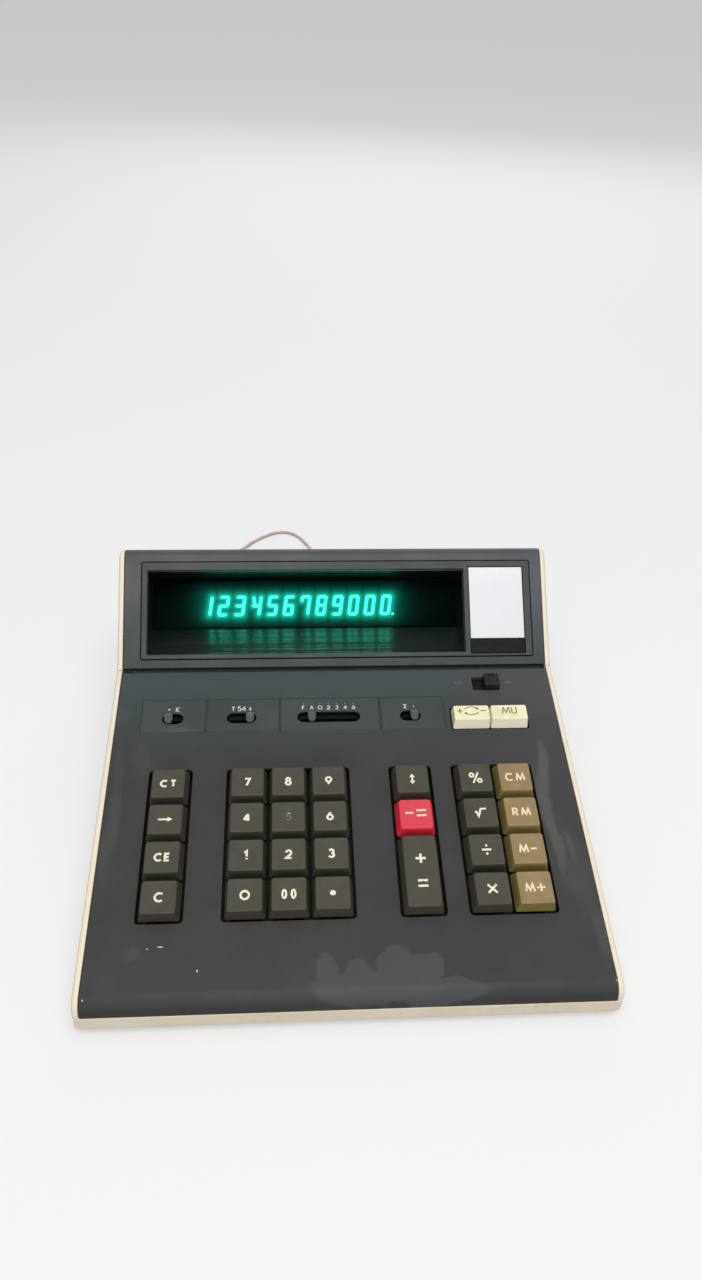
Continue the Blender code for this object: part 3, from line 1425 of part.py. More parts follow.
def plug_tail_start():
    """Where the plug's tail begins, level with the middle of the plug."""
    return Vector((COIL_X + PLUG_GAP, COIL_Y - coil_radius(COIL_TURNS), PLUG_THICK / 2 + FIT / 2))


def wound_lead():
    """The whole coil with a short straight start and the run down to the plug."""
    coil = coil_points()
    entry = coil[0] + Vector((0, LEAD_DIAMETER, 0))
    tail_end = plug_tail_start() - Vector((FIT, 0, 0))
    before_end = tail_end - Vector((LEAD_DIAMETER, 0, 0))
    last = coil[-1]
    run = [last.lerp(before_end, share) for share in COIL_EXIT_SHARES]
    for point, share in zip(run, COIL_EXIT_SHARES):
        eased = (1 - math.cos(math.pi * share)) / 2
        point.z = last.z + (before_end.z - last.z) * eased
    return [entry, *coil, *run, before_end, tail_end]


def tube_object(name, points, material, resolution):
    curve = bpy.data.curves.new(name, "CURVE")
    curve.dimensions = "3D"
    curve.bevel_depth = LEAD_DIAMETER / 2
    curve.bevel_resolution = resolution
    curve.use_fill_caps = True
    spline = curve.splines.new("POLY")
    spline.points.add(len(points) - 1)
    for target, point in zip(spline.points, points):
        target.co = (*point, 1)
    curve.materials.append(material)
    part = bpy.data.objects.new(name, curve)
    bpy.context.scene.collection.objects.link(part)
    return part


def least_gap(points):
    """The least gap of the tube to itself, measured between points half a loop or more apart."""
    least = math.inf
    for i, one in enumerate(points):
        for two in points[i + LOOP_POINTS // 2:]:
            least = min(least, (two - one).length)
    return least - LEAD_DIAMETER


def make_lead(look):
    free = smooth_through(lead_route(), LEAD_STEP)
    tube_object("mains_lead", free, look["lead"], 2)
    wound = wound_lead()
    tube_object("lead_coil", wound, look["lead"], 1)
    gap = least_gap(wound)
    print(f"least gap of the coil to itself: {gap * 1000:.2f} mm")
    whole = sum((b - a).length for line in (free, wound) for a, b in zip(line, line[1:]))
    print(f"length of the lead outside the case: {whole:.3f} m, {len(free)} points in its free stretch")


def make_tie(material):
    """A strap round the bundle of turns."""
    inner = COIL_MIDDLE - spiral_turns() * COIL_PITCH / 2 - LEAD_DIAMETER / 2
    outer = COIL_MIDDLE + spiral_turns() * COIL_PITCH / 2 + LEAD_DIAMETER / 2
    sag = inner - math.sqrt(inner**2 - (TIE_WIDTH / 2) ** 2)
    low = COIL_BASE - LEAD_DIAMETER / 2 - TIE_FIT
    high = COIL_BASE + (COIL_LAYERS - 1) * COIL_RISE + LEAD_DIAMETER / 2 + TIE_FIT
    hole = (inner - sag - TIE_FIT, outer + TIE_FIT, low, high)

    def ring(grow, y):
        shape = rectangle(hole[0] - grow, hole[1] + grow, hole[2] - grow, hole[3] + grow)
        return [(x, y, z) for x, z in shape]

    half = TIE_WIDTH / 2
    tie = loft(
        "coil_tie", [ring(TIE_THICK, -half), ring(TIE_THICK, half), ring(0, half), ring(0, -half)],
        material, closed=True,
    )
    tie.location = (COIL_X, COIL_Y, 0)
    tie.rotation_euler = (0, 0, TIE_ANGLE)
    return tie


def make_plug(material):
    """A flat two-pin plug lying beside the coil, its tail towards the lead."""
    start = plug_tail_start()
    body = PLUG_TAIL
    sections = [
        (0, 2 * PLUG_TAIL_RADIUS, 2 * PLUG_TAIL_RADIUS, PLUG_TAIL_RADIUS),
        (body, 2 * PLUG_NECK_RADIUS, 2 * PLUG_NECK_RADIUS, PLUG_NECK_RADIUS),
        (body, PLUG_WIDTH * PLUG_SHOULDER_SHARE, PLUG_THICK * PLUG_SHOULDER_THICK_SHARE, PLUG_CORNER),
        *[(body + PLUG_LENGTH * share, PLUG_WIDTH, PLUG_THICK, PLUG_CORNER) for share in PLUG_WIDEST_SHARES],
        (body + PLUG_LENGTH, PLUG_FACE_WIDTH, PLUG_THICK, PLUG_CORNER),
    ]
    rings = [
        [(along, y, z) for y, z in middled(width, height, radius, steps=PLUG_CORNER_STEPS)]
        for along, width, height, radius in sections
    ]
    plug = loft("mains_plug", rings, material)
    plug.location = start
    pins = []
    face = body + PLUG_LENGTH
    for side in (-PIN_SPACING / 2, PIN_SPACING / 2):
        pin = disc(PIN_RADIUS, side, 0, POST_SIDES)
        pins.append([[(along, y, z) for y, z in pin] for along in (face - BITE, face + PIN_LENGTH)])
    pair = prisms("plug_pins", pins)
    pair.location = start
    join(plug, pair)
    return smooth(plug)


def main():
    clear_scene()
    look = make_materials()
    crease = (0, CREASE_Y, CREASE_HEIGHT)
    case_axes = empty("case_axes", crease)
    panel_axes = empty("panel_axes", crease, PANEL_SLOPE)
    face_axes = empty("face_axes", crease, FACE_SLOPE)
    back_start = (0, CREASE_Y + BACK_START[0], CREASE_HEIGHT + BACK_START[1])
    back_axes = empty("back_axes", back_start, -BACK_FALL)

    make_lower_case(look["cream"])
    make_front_case(case_axes, look["cream"])
    make_rear_case(case_axes, back_axes, look["cream"])
    for name, (x, y) in foot_places().items():
        make_foot(name, x, y, look["rubber"])

    make_keyboard_panel(panel_axes, look["charcoal"])
    make_switch_label(panel_axes, look["charcoal"])
    make_keys(panel_axes, look)
    for slider in SLIDERS:
        make_slider(*slider, panel_axes, look["knob"])
    make_power_slider(panel_axes, look["black"])
    make_key_frame(panel_axes, look["black"])
    make_contact_board(panel_axes, look["board"])
    make_switch_bank(panel_axes, look["black"])

    make_hood_shell(face_axes, look["charcoal"])
    make_bezel(face_axes, look["bezel"])
    make_name_plate(face_axes, look["plate"])
    make_shadow_box(face_axes, look["box"])
    make_filter(face_axes, look["filter"])
    make_tube(face_axes, look["glass"])
    make_display_board(face_axes, look["board"])

    make_logic_board(look["board"])
    make_transformer(look["steel"])

    make_relief(look["lead"])
    make_lead(look)
    make_tie(look["black"])
    make_plug(look["lead"])


main()
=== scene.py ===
# %% [markdown]
# Dressing a desktop calculator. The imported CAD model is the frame: every piece made here is
# placed by the CAD's own sizes and rides on one of its bodies. A real calculator is an assembly
# of moulded shells, keys and boards, so each of them stays a mesh of its own here, and the keys
# and knobs can move.

# %% Load the frame
import math

import bmesh
import bpy
import numpy as np
from mathutils import Euler, Matrix, Vector


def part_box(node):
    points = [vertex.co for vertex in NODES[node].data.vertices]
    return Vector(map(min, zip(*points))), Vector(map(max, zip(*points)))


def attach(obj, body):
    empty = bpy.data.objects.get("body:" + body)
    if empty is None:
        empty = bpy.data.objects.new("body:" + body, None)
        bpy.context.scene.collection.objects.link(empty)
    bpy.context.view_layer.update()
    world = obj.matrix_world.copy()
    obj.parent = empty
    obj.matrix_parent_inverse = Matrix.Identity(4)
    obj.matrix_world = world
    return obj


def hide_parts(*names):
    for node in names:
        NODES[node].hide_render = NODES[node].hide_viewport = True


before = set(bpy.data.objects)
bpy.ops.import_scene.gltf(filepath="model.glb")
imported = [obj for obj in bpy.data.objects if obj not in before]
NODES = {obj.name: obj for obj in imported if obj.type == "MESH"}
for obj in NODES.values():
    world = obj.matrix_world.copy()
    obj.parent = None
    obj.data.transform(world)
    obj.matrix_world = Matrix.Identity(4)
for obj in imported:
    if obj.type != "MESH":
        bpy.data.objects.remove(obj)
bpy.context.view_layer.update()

# %% [markdown]
# The keyboard panel and the hood's face are flat but sloped. Drawing on a slope is awkward in
# world axes, so what lies on them is drawn flat in their own axes, x across, y or u up the slope
# and z out of it, and one matrix then turns it into place. Both sets of axes start at the crease.

# %% Axes and shared sizes
MM = 0.001
CREASE = Vector((0, 43.939, 52.4)) * MM
PANEL_SLOPE = math.radians(11)
FACE_SLOPE = math.radians(43)
PANEL = Matrix.Translation(CREASE) @ Matrix.Rotation(PANEL_SLOPE, 4, "X")
FACE = Matrix.Translation(CREASE) @ Matrix.Rotation(FACE_SLOPE, 4, "X")
HERE = Matrix.Identity(4)


def on_panel(x, y):
    """The matrix that puts a piece at this place on the keyboard panel, in metres."""
    return PANEL @ Matrix.Translation((x, y, 0))


print("panel and face axes at", tuple(round(c, 4) for c in CREASE))

# %% [markdown]
# The camera comes first, because the lead's loop behind the hood is placed by what the camera
# sees of it. Its place, turn and lens were fitted to the corners of the keys, the panel and the
# hood in the photograph, so every edge falls where the picture has it.

# %% Camera
CAMERA_PLACE = Vector((-23.8, -344.77, 377.33)) * MM
CAMERA_TURN = Euler([math.radians(a) for a in (51.8, -1.748, -3.149)])
LENS = 27.14
NEAREST = 0.01

data = bpy.data.cameras.new("camera")
data.lens = LENS
data.clip_start = NEAREST
camera = bpy.data.objects.new("camera", data)
camera.location = CAMERA_PLACE
camera.rotation_euler = CAMERA_TURN
bpy.context.scene.collection.objects.link(camera)
bpy.context.scene.camera = camera

print("the camera stands at", tuple(round(c, 3) for c in CAMERA_PLACE), "with a lens of", LENS)

# %% [markdown]
# Shaders and Geometry Nodes are both node trees. Clicked together in an editor, they can't be
# read in a script, and in plain Python every node takes several lines. One small class makes a
# node, sets it and links what goes into it in one call, and both kinds of tree are written so.

# %% Node trees
class Graph:
    """A node tree written in short: each node is made together with what goes into it."""

    def __init__(self, tree):
        self.tree = tree

    def give(self, socket, source):
        """Feeds a socket from a node, an output, a named input of the tree or a plain value."""
        if isinstance(source, str):
            source = self.inputs.outputs[source]
        if hasattr(source, "outputs"):
            source = source.outputs[0]
        if hasattr(source, "is_output"):
            self.tree.links.new(source, socket)
        elif socket.type == "RGBA" and len(source) == 3:
            socket.default_value = (*source, 1)
        else:
            socket.default_value = source

    def node(self, kind, links=None, family="ShaderNode", **settings):
        """A node; links gives what goes into its sockets, by name or number."""
        made = self.tree.nodes.new(family + kind)
        for key, value in settings.items():
            setattr(made, key, value)
        for socket, source in (links or {}).items():
            self.give(made.inputs[socket], source)
        return made

    def math(self, operation, one, two=0.0):
        return self.node("Math", {0: one, 1: two}, operation=operation).outputs[0]

    def times(self, one, two):
        return self.math("MULTIPLY", one, two)


print("the node tree helper is ready")

# %% [markdown]
# Wide lamps give the soft, even light of the photograph. A bright backdrop seen by the camera
# would also flood the object with light from below and behind. A light path node tells the rays
# apart: the rays that show a thing get the pale backdrop, and the rays that light a thing get a
# dimmer one. The other way, lamps alone on a white floor, leaves grey corners in the picture.

# %% World, lamps and floor
FLOOR_SIZE = 16.0
# name, place, target, size, watts and colour
LAMPS = (
    ("window", (0.05, -0.62, 1.5), (0, 0.02, 0.05), (1.3, 0.9), 17, (1.0, 0.985, 0.96)),
    ("front", (-0.15, -1.45, 0.5), (0, 0.0, 0.05), (1.4, 0.6), 6, (1.0, 0.98, 0.95)),
    ("ceiling", (-0.1, 0.5, 1.9), (0, 0, 0.05), (1.6, 1.2), 4, (1, 1, 1)),
    ("rear", (0.25, 1.4, 0.75), (0, 0.12, 0.04), (1.3, 0.8), 5, (1, 1, 1)),
)


def add_lamp(name, place, target, size, watts, colour):
    data = bpy.data.lights.new(name, "AREA")
    data.shape = "RECTANGLE"
    data.size, data.size_y = size
    data.energy = watts
    data.color = colour
    lamp = bpy.data.objects.new(name, data)
    lamp.location = place
    lamp.rotation_euler = (Vector(target) - Vector(place)).to_track_quat("-Z", "Y").to_euler()
    bpy.context.scene.collection.objects.link(lamp)


def empty_graph(owner):
    owner.use_nodes = True
    owner.node_tree.nodes.clear()
    return Graph(owner.node_tree)


def light_and_show(graph, light, shown, out):
    """One shader for the rays that light things, and another for the rays that show them: those
    from the camera, from gloss and through glass."""
    ray = graph.node("LightPath").outputs
    seen = graph.math("MAXIMUM", ray["Is Camera Ray"], ray["Is Glossy Ray"])
    seen = graph.math("MAXIMUM", seen, ray["Is Transmission Ray"])
    graph.node(out, {0: graph.node("MixShader", {0: seen, 1: light, 2: shown})})


world = bpy.data.worlds.new("studio")
graph = empty_graph(world)
light = graph.node("Background", {"Color": (0.93, 0.96, 1.0), "Strength": 0.34})
backdrop = graph.node("Background", {"Color": (0.97, 0.98, 1.0), "Strength": 0.6})
light_and_show(graph, light, backdrop, "OutputWorld")
bpy.context.scene.world = world

# pale to the camera and darker to everything else, so little light comes up from it
bpy.ops.mesh.primitive_plane_add(size=FLOOR_SIZE)
floor = bpy.context.object
floor.name = "floor"
floor.data.materials.append(bpy.data.materials.new("floor"))
graph = empty_graph(floor.data.materials[0])
dim = graph.node("BsdfDiffuse", {"Color": (0.3, 0.3, 0.3)})
matt = graph.node("BsdfDiffuse", {"Color": (0.45, 0.45, 0.45)})
lift = graph.node("Emission", {"Color": (0.98, 0.99, 1.0), "Strength": 0.42})
pale = graph.node("AddShader", {0: matt, 1: lift})
light_and_show(graph, dim, pale, "OutputMaterial")

bpy.context.scene.view_settings.view_transform = "Standard"
for lamp in LAMPS:
    add_lamp(*lamp)
print(f"the world, {len(LAMPS)} lamps and the floor are in place")

# %% [markdown]
# The lead is a thin, limp flex in a pale sheath. It leaves the rear wall on the left, drops to
# the table, runs out in the loop that the camera sees over the hood's edge, and comes back to
# the coil, where the rest of its 1.5 m is wound in four layers. A curve with a round section is
# the simplest way to make it: only the points on its middle line are needed, and the curve's
# bevel sweeps a circle along them. The points are the CAD route's own.

# %% Lead: route
LEAD_DIAMETER = 0.0022
LEAD_REST = 0.00115
LEAD_STEP = 0.003
LEAD_GAP = 0.0003
LEAD_EXIT = (-0.08, 0.150239, 0.02)
LEAD_ROUTE = (
    LEAD_EXIT,
    (-0.08, 0.158, 0.0193),
    (-0.0799, 0.168, 0.0152),
    (-0.0796, 0.178, 0.0095),
    (-0.079, 0.189, 0.0042),
    (-0.0775, 0.2, 0.0016),
    (-0.0745, 0.2115, LEAD_REST),
    (-0.0682, 0.2245, LEAD_REST),
    (-0.0573, 0.2381, LEAD_REST),
    (-0.0495, 0.2481, LEAD_REST),
    (-0.0413, 0.2553, LEAD_REST),
    (-0.0345, 0.2594, LEAD_REST),
    (-0.0269, 0.2604, LEAD_REST),
    (-0.0191, 0.2557, LEAD_REST),
    (-0.0136, 0.2469, LEAD_REST),
    (-0.0094, 0.2382, LEAD_REST),
    (-0.0052, 0.2275, LEAD_REST),
    (-0.0012, 0.2145, LEAD_REST),
    (0.0014, 0.201, 0.0014),
    (0.003006, 0.188, 0.0026),
    (0.003006, 0.177, 0.0026),
)


def smooth_through(points, step, fine_steps=12):
    """Points about a step apart on a smooth curve through the given points."""
    route = [Vector(p) for p in points]
    route = [2 * route[0] - route[1], *route, 2 * route[-1] - route[-2]]
    fine = []
    for a, b, c, d in zip(route, route[1:], route[2:], route[3:]):
        for i in range(fine_steps):
            t = i / fine_steps
            fine.append(
                (2 * b + (c - a) * t + (2 * a - 5 * b + 4 * c - d) * t**2
                 + (3 * b - a - 3 * c + d) * t**3) / 2
            )
    fine.append(route[-2])
    spaced = [fine[0]]
    for point in fine[1:]:
        if (point - spaced[-1]).length >= step:
            spaced.append(point)
    return spaced


print(f"the free run goes through {len(LEAD_ROUTE)} points")

# %% Lead: coil
COIL_MIDDLE = Vector((0.0215, 0.1745, 0))
COIL_TURNS = 15.25
COIL_LAYERS = 4
COIL_PITCH = 0.00308
COIL_RISE = 0.0028
COIL_BASE = 0.0026
COIL_OUTER = 0.018494
LAYER_TURNS = (COIL_TURNS - (COIL_LAYERS - 1) / 2) / COIL_LAYERS
LOOP_POINTS = 48
PLUG_START = Vector((0.0335, 0.156006, 0.00695))
IN_PLUG = (-LEAD_GAP, 0.003, 0.006, 0.009)


def coil_point(turn):
    """The coil after some turns: it spirals in and out, and climbs in the half turn between."""
    layer, part = divmod(turn, LAYER_TURNS + 1 / 2)
    moved = min(part, LAYER_TURNS) * COIL_PITCH
    inner = COIL_OUTER - LAYER_TURNS * COIL_PITCH
    radius = COIL_OUTER - moved if layer % 2 == 0 else inner + moved
    climb = (1 - math.cos(math.pi * max(0.0, part - LAYER_TURNS) * 2)) / 2
    angle = math.pi + 2 * math.pi * turn
    height = COIL_BASE + (layer + climb) * COIL_RISE
    return COIL_MIDDLE + Vector((radius * math.cos(angle), radius * math.sin(angle), height))


def lead_line():
    """The whole middle line: free run, entry, coil, run to the plug and the end inside it."""
    free = smooth_through(LEAD_ROUTE, LEAD_STEP)
    count = round(COIL_TURNS * LOOP_POINTS)
    coil = [coil_point(COIL_TURNS * i / count) for i in range(count + 1)]
    entry = coil[0] + Vector((0, LEAD_DIAMETER, 0))
    free = [p for p in free if p.y > entry.y + LEAD_DIAMETER or p.x < -LEAD_DIAMETER]
    last, before_end = coil[-1], PLUG_START - Vector((LEAD_DIAMETER + LEAD_GAP, 0, 0))
    run = []
    for share in (0.2, 0.35, 0.5, 0.7, 0.85):
        point = last.lerp(before_end, share)
        point.z = last.z + (before_end.z - last.z) * (1 - math.cos(math.pi * share)) / 2
        run.append(point)
    grip = [PLUG_START + Vector((x, 0, 0)) for x in IN_PLUG]
    return [*free, entry, *coil, *run, before_end, *grip]


def add_lead():
    points = lead_line()
    curve = bpy.data.curves.new("mains_flex", "CURVE")
    curve.dimensions = "3D"
    curve.bevel_depth = 1.0
    curve.bevel_resolution = 3
    curve.use_fill_caps = True
    spline = curve.splines.new("POLY")
    spline.points.add(len(points) - 1)
    for target, point in zip(spline.points, points):
        target.co = (*point, 1)
        target.radius = LEAD_DIAMETER / 2
    lead = bpy.data.objects.new("mains_flex", curve)
    bpy.context.scene.collection.objects.link(lead)
    length = sum((b - a).length for a, b in zip(points, points[1:]))
    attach(lead, "case")
    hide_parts("mains_lead", "lead_coil")
    print(f"lead: {len(points)} points, {length:.3f} m")
    return lead


LEAD = add_lead()

# %% [markdown]
# Real plastic, paint and metal are never one even colour. A picture wrapped round each piece
# could show that, but it would need a layout for every mesh. Nodes on object coordinates need
# none: grain, dust and wear are computed at each point, and they keep their size and place on
# every piece.

# %% Materials: the builder
class Surface(Graph):
    """One material: a principled shader whose colour, roughness and relief come from noises."""

    def __init__(self, name, colour, roughness, metallic=0.0, **settings):
        self.material = bpy.data.materials.new(name)
        self.material.use_nodes = True
        super().__init__(self.material.node_tree)
        self.shader = self.tree.nodes["Principled BSDF"]
        self.colour, self.roughness, self.height = colour, roughness, None
        self.feed("Base Color", colour)
        self.feed("Roughness", roughness)
        self.feed("Metallic", metallic)
        for name, value in settings.items():
            self.feed(name.replace("_", " "), value)
        self.place = self.node("TexCoord").outputs["Object"]

    def feed(self, name, source):
        self.give(self.shader.inputs[name], source)
        return self

    def vector(self, operation, *sources):
        return self.node("VectorMath", dict(enumerate(sources)), operation=operation)

    def axis(self, index):
        return self.node("SeparateXYZ", {0: self.place}).outputs[index]

    def between(self, value, low, high):
        """0 at one value and 1 at the other, and even between them."""
        return self.node("MapRange", {"Value": value, "From Min": low, "From Max": high})

    def fade(self, axis, low, high):
        """0 to 1 between two heights, or two places along another axis."""
        return self.between(self.axis(axis), low, high)

    def noise(self, size, detail, rough=0.5, seed=0.0, stretch=None):
        """Noise whose blobs are about this size, in metres."""
        place = self.place
        if stretch is not None:
            place = self.node("Mapping", {"Vector": place, "Scale": stretch})
        links = {"Vector": place, "W": seed, "Scale": 1 / size, "Detail": detail}
        return self.node("TexNoise", {**links, "Roughness": rough}, noise_dimensions="4D")

    def grain(self, size, detail=2.0, low=0.0, high=1.0, **settings):
        """Noise spread over 0 to 1, so that only its peaks or nearly all of it shows."""
        return self.between(self.noise(size, detail, **settings).outputs["Fac"], low, high)

    def cells(self, size, seed=0.0):
        links = {"Vector": self.place, "W": seed, "Scale": 1 / size}
        return self.node("TexVoronoi", links, voronoi_dimensions="4D")

    def facing(self, direction, low, high):
        """1 where the surface faces this way, 0 where it turns from it."""
        normal = self.node("TexCoord").outputs["Normal"]
        made = self.vector("DOT_PRODUCT", normal, Vector(direction).normalized())
        return self.between(made.outputs["Value"], low, high)

    def ragged(self, size, amount, seed=0.0):
        """Object coordinates pushed about by noise, for patches with uneven edges."""
        colour = self.noise(size, 3, seed=seed).outputs["Color"]
        push = self.vector("MULTIPLY_ADD", colour, (2 * amount,) * 3, (-amount,) * 3)
        return self.vector("ADD", push, self.place)

    def tint(self, colour, amount, share=None):
        """Mixes another colour over the colour so far; a share makes the mix weaker."""
        if share is not None:
            amount = self.times(amount, share)
        mix = self.node("Mix", {"Factor": amount, 6: self.colour, 7: colour}, data_type="RGBA")
        self.colour = mix.outputs[2]
        return self.feed("Base Color", self.colour)

    def polish(self, roughness, amount):
        """Mixes another roughness over the roughness so far."""
        mix = self.node(
            "Mix", {"Factor": amount, 2: self.roughness, 3: roughness}, data_type="FLOAT",
        )
        self.roughness = mix.outputs[0]
        return self.feed("Roughness", self.roughness)

    def relief(self, height, depth):
        """Adds a bump of this depth, in metres."""
        bump = self.node("Bump", {"Strength": 1.0, "Distance": depth, "Height": height})
        if self.height is not None:
            self.give(bump.inputs["Normal"], self.height)
        self.height = bump
        return self.feed("Normal", bump)

    def glow(self, colour, strength):
        return self.feed("Emission Color", colour).feed("Emission Strength", strength)


def shaded(colour, factor):
    return [c * factor for c in colour]


SURFACES = {}
print("the material builder is ready")

# %% [markdown]
# The panel and the hood are moulded in charcoal plastic and sprayed with a fine spatter paint.
# Years of use wiped it pale by the nose, drew streaks down the right side and chipped a few
# specks. Painting that by hand would give one picture for one machine. Here each patch is a soft
# ellipsoid at a place on the panel, and a noise pushes its edge about, so the wear looks random
# but stays where the photograph has it.

# %% Finishes: the worn charcoal paint
# patches in millimetres on the panel: middle x and y, how far they reach, and how strong
WIPED_PATCHES = (
    (18.5, -161.1, 8.9, 9.8), (31.4, -161.7, 7.9, 6.5), (2.1, -163.4, 5.8, 6.8),
    (-10.5, -161.5, 5.4, 6.9), (6, -169, 26, 7), (34, -171, 24, 4.5),
)
STREAKS = (
    (97.3, -60, 3.6, 13, 0.9), (97.2, -74, 4.4, 15, 0.9), (97.7, -90, 4.6, 17, 0.85),
    (98.4, -106, 4, 15, 0.75), (104.9, -106, 2.2, 9, 0.5), (104.4, -119.4, 8.2, 34.5, 0.2),
    (-92, -151.4, 4.6, 4.4, 0.3), (-101.5, -163.5, 5.4, 7.4, 0.15),
    (-95.2, -54.5, 5.2, 10.1, 0.25), (-107.5, -97, 5.5, 26, 0.3), (108, -151, 5, 15, 0.4),
    (-106.8, -69.7, 3.8, 30.5, 0.18), (-108.1, -28.9, 6.2, 9.2, 0.2),
)
SPECKS = (
    (-63.9, -160.5, 0.4, 0.7), (-79.9, -149.8, 1.6, 0.35), (110.7, -169.9, 0.5, 0.4),
    (-109.3, -171, 0.4, 0.4), (-85.2, -150.5, 0.5, 0.3),
)
PATCH_DEEP, STREAK_DEEP = 20, 50
WIPED_SHARE = 0.8
DUSTY, CHIPPED = (0.071, 0.071, 0.07), (0.5, 0.5, 0.48)


def charcoal(name, colour, roughness):
    """Painted plastic: a fine spatter, dust in soft clouds, a few pale specks."""
    made = Surface(name, colour, roughness, Specular_IOR_Level=0.36)
    made.tint(shaded(colour, 1.5), made.grain(0.03, 4, 0.5, 0.8))
    made.tint(shaded(colour, 0.75), made.grain(0.05, 3, 0.5, 0.75, seed=3))
    specks = made.between(made.cells(0.009, 1), 0.05, 0.03)
    made.tint((0.35, 0.35, 0.33), specks, made.grain(0.02, 2, 0.6, 0.7, seed=8))
    made.polish(roughness - 0.12, made.grain(0.02, 3, 0.35, 0.7, seed=5))
    made.relief(made.grain(0.0006, 2, 0.3, 0.7), 0.00006)
    return made


def patch(made, x, y, reach_x, reach_y, deep, soft, where=None):
    """1 in the middle of a spot on the panel and 0 beyond its reach, in millimetres."""
    middle = PANEL @ Vector((x * MM, y * MM, 0))
    shift = made.vector("SUBTRACT", where or made.place, middle)
    share = made.vector("DIVIDE", shift, [reach * MM for reach in (reach_x, reach_y, deep)])
    return made.between(made.vector("LENGTH", share).outputs["Value"], 1.0, 1.0 - soft)


def worn_panel(colour):
    """The keyboard panel's paint: pale behind and at the right, painted shade at the nose, and
    worn.
    """
    made = charcoal("charcoal_panel", colour, 0.62)
    behind = (colour[0] * 1.5, colour[1] * 2.0, colour[2] * 2.2)
    made.tint(behind, made.fade(1, -0.012, 0.035))
    made.tint((0.042, 0.039, 0.04), patch(made, 96, -45, 50, 75, 50, 0.9), 0.9)
    made.tint((0.056, 0.057, 0.063), patch(made, 102, -6, 55, 32, 30, 0.8), 0.9)
    # painted shade: the nose rolls down, away from the light, so its lowest part is darkened
    made.tint(shaded(colour, 0.62), made.fade(2, 0.0195, 0.015))
    uneven = made.ragged(0.011, 0.004, 2)
    wiped = 0.0
    for spot in WIPED_PATCHES:
        wiped = made.math("MAXIMUM", patch(made, *spot, PATCH_DEEP, 0.14, uneven), wiped)
    made.tint(shaded(colour, 2.0), wiped, WIPED_SHARE)
    drawn = made.ragged(0.03, 0.008, 5)
    for *spot, share in STREAKS:
        made.tint(DUSTY, patch(made, *spot, STREAK_DEEP, 0.5, drawn), share)
    for spot in SPECKS:
        made.tint(CHIPPED, patch(made, *spot, PATCH_DEEP, 0.4))
    return made


SURFACES["panel"] = worn_panel((0.025, 0.027, 0.0265))
print(f"{len(WIPED_PATCHES)} wiped patches, {len(STREAKS)} streaks, {len(SPECKS)} specks")

# %% [markdown]
# The hood, the bezel and the switches' label are sprayed with the same paint. The hood is paler
# and bluer at its right end, and the hood and the bezel darken towards the crease: painted shade,
# where less light falls. The label has a fine groove between its cells, darkened with painted
# shade, and a pale band on its lower edge under the first slot, partly rubbed paint and partly a
# painted highlight where the edge catches the light.

# %% Finishes: hood, bezel and label
CELL_EDGES = (-66.5, -29.8, 20.8)
GROOVE_OUTER, GROOVE_INNER = 0.9 * MM, 0.5 * MM


def banded_label(colour):
    """The label's paint, with painted shade along the grooves between its cells."""
    made = charcoal("charcoal_label", colour, 0.5)
    x = made.axis(0)
    # painted shade in each groove between the cells
    for groove in CELL_EDGES:
        off = made.math("ABSOLUTE", made.math("SUBTRACT", x, groove * MM))
        made.tint(shaded(colour, 0.5), made.between(off, GROOVE_OUTER, GROOVE_INNER))
    # a pale band on the label's lower edge under the first slot: partly rubbed paint, partly a
    # painted highlight where the edge catches the light
    made.tint((0.1, 0.1, 0.1), patch(made, -78.5, -38.6, 11, 2.1, 10, 0.9), 0.5)
    return made


hood = charcoal("charcoal_hood", (0.05, 0.057, 0.057), 0.5)
hood.tint((0.055, 0.064, 0.08), hood.fade(0, 0.094, 0.108))
hood.tint((0.018, 0.029, 0.031), hood.fade(2, 0.078, 0.054))
bezel = charcoal("charcoal_bezel", (0.021, 0.028, 0.03), 0.45)
# painted shade: the bezel darkens towards the crease, where less light falls, like the hood
bezel.tint((0.018, 0.028, 0.03), bezel.fade(2, 0.074, 0.056))
label = banded_label((0.037, 0.046, 0.046))
SURFACES.update(hood=hood, bezel=bezel, label=label)
print(f"{len(SURFACES)} charcoal paints")

# %% [markdown]
# Keycaps are moulded in coloured plastic. The tops and the skirts get two colours, partly for the
# wear of fingers on the dish and partly as painted light, for how differently light falls on tops
# and skirts, so one material carries two colours, and the way the surface faces chooses between
# them.
# The legends are printed ink, thin and chipped. Each ink mixes in the colour of the plastic under
# it where a fine noise peaks, which is simpler than cutting holes in the print.

# %% Finishes: keys and inks
UP_PANEL = (0, -math.sin(PANEL_SLOPE), math.cos(PANEL_SLOPE))
# finish: the colour of the skirts and of the top, set apart as painted light and shade
KEY_LIT_AND_SHADED_COLOURS = {
    "dark_key": ((0.057, 0.052, 0.038), (0.048, 0.044, 0.03)),
    "khaki_key": ((0.24, 0.195, 0.068), (0.262, 0.178, 0.083)),
    "red_key": ((0.82, 0.034, 0.065), (0.64, 0.045, 0.075)),
    "pale_key": ((0.93, 0.87, 0.7), (0.82, 0.77, 0.5)),
}
BEHIND_LEGEND = (0.1, 0.09, 0.07)
# finish: material, colour and what shows through
INKS = {
    "ink": ("cream_ink", (0.84, 0.78, 0.6), BEHIND_LEGEND),
    "faint_ink": ("faint_ink", (0.3, 0.29, 0.26), BEHIND_LEGEND),
    "ghost_ink": ("ghost_ink", (0.12, 0.11, 0.085), BEHIND_LEGEND),
    "white_ink": ("white_ink", (0.7, 0.74, 0.76), (0.06, 0.065, 0.07)),
    "worn_ink": ("worn_ink", (0.12, 0.125, 0.13), (0.035, 0.037, 0.037)),
    "dark_ink": ("dark_ink", (0.085, 0.075, 0.035), (0.26, 0.25, 0.16)),
    "warm_ink": ("warm_ink", (0.86, 0.72, 0.46), (0.3, 0.22, 0.11)),
    "red_ink": ("pink_ink", (0.88, 0.66, 0.6), (0.7, 0.1, 0.12)),
}


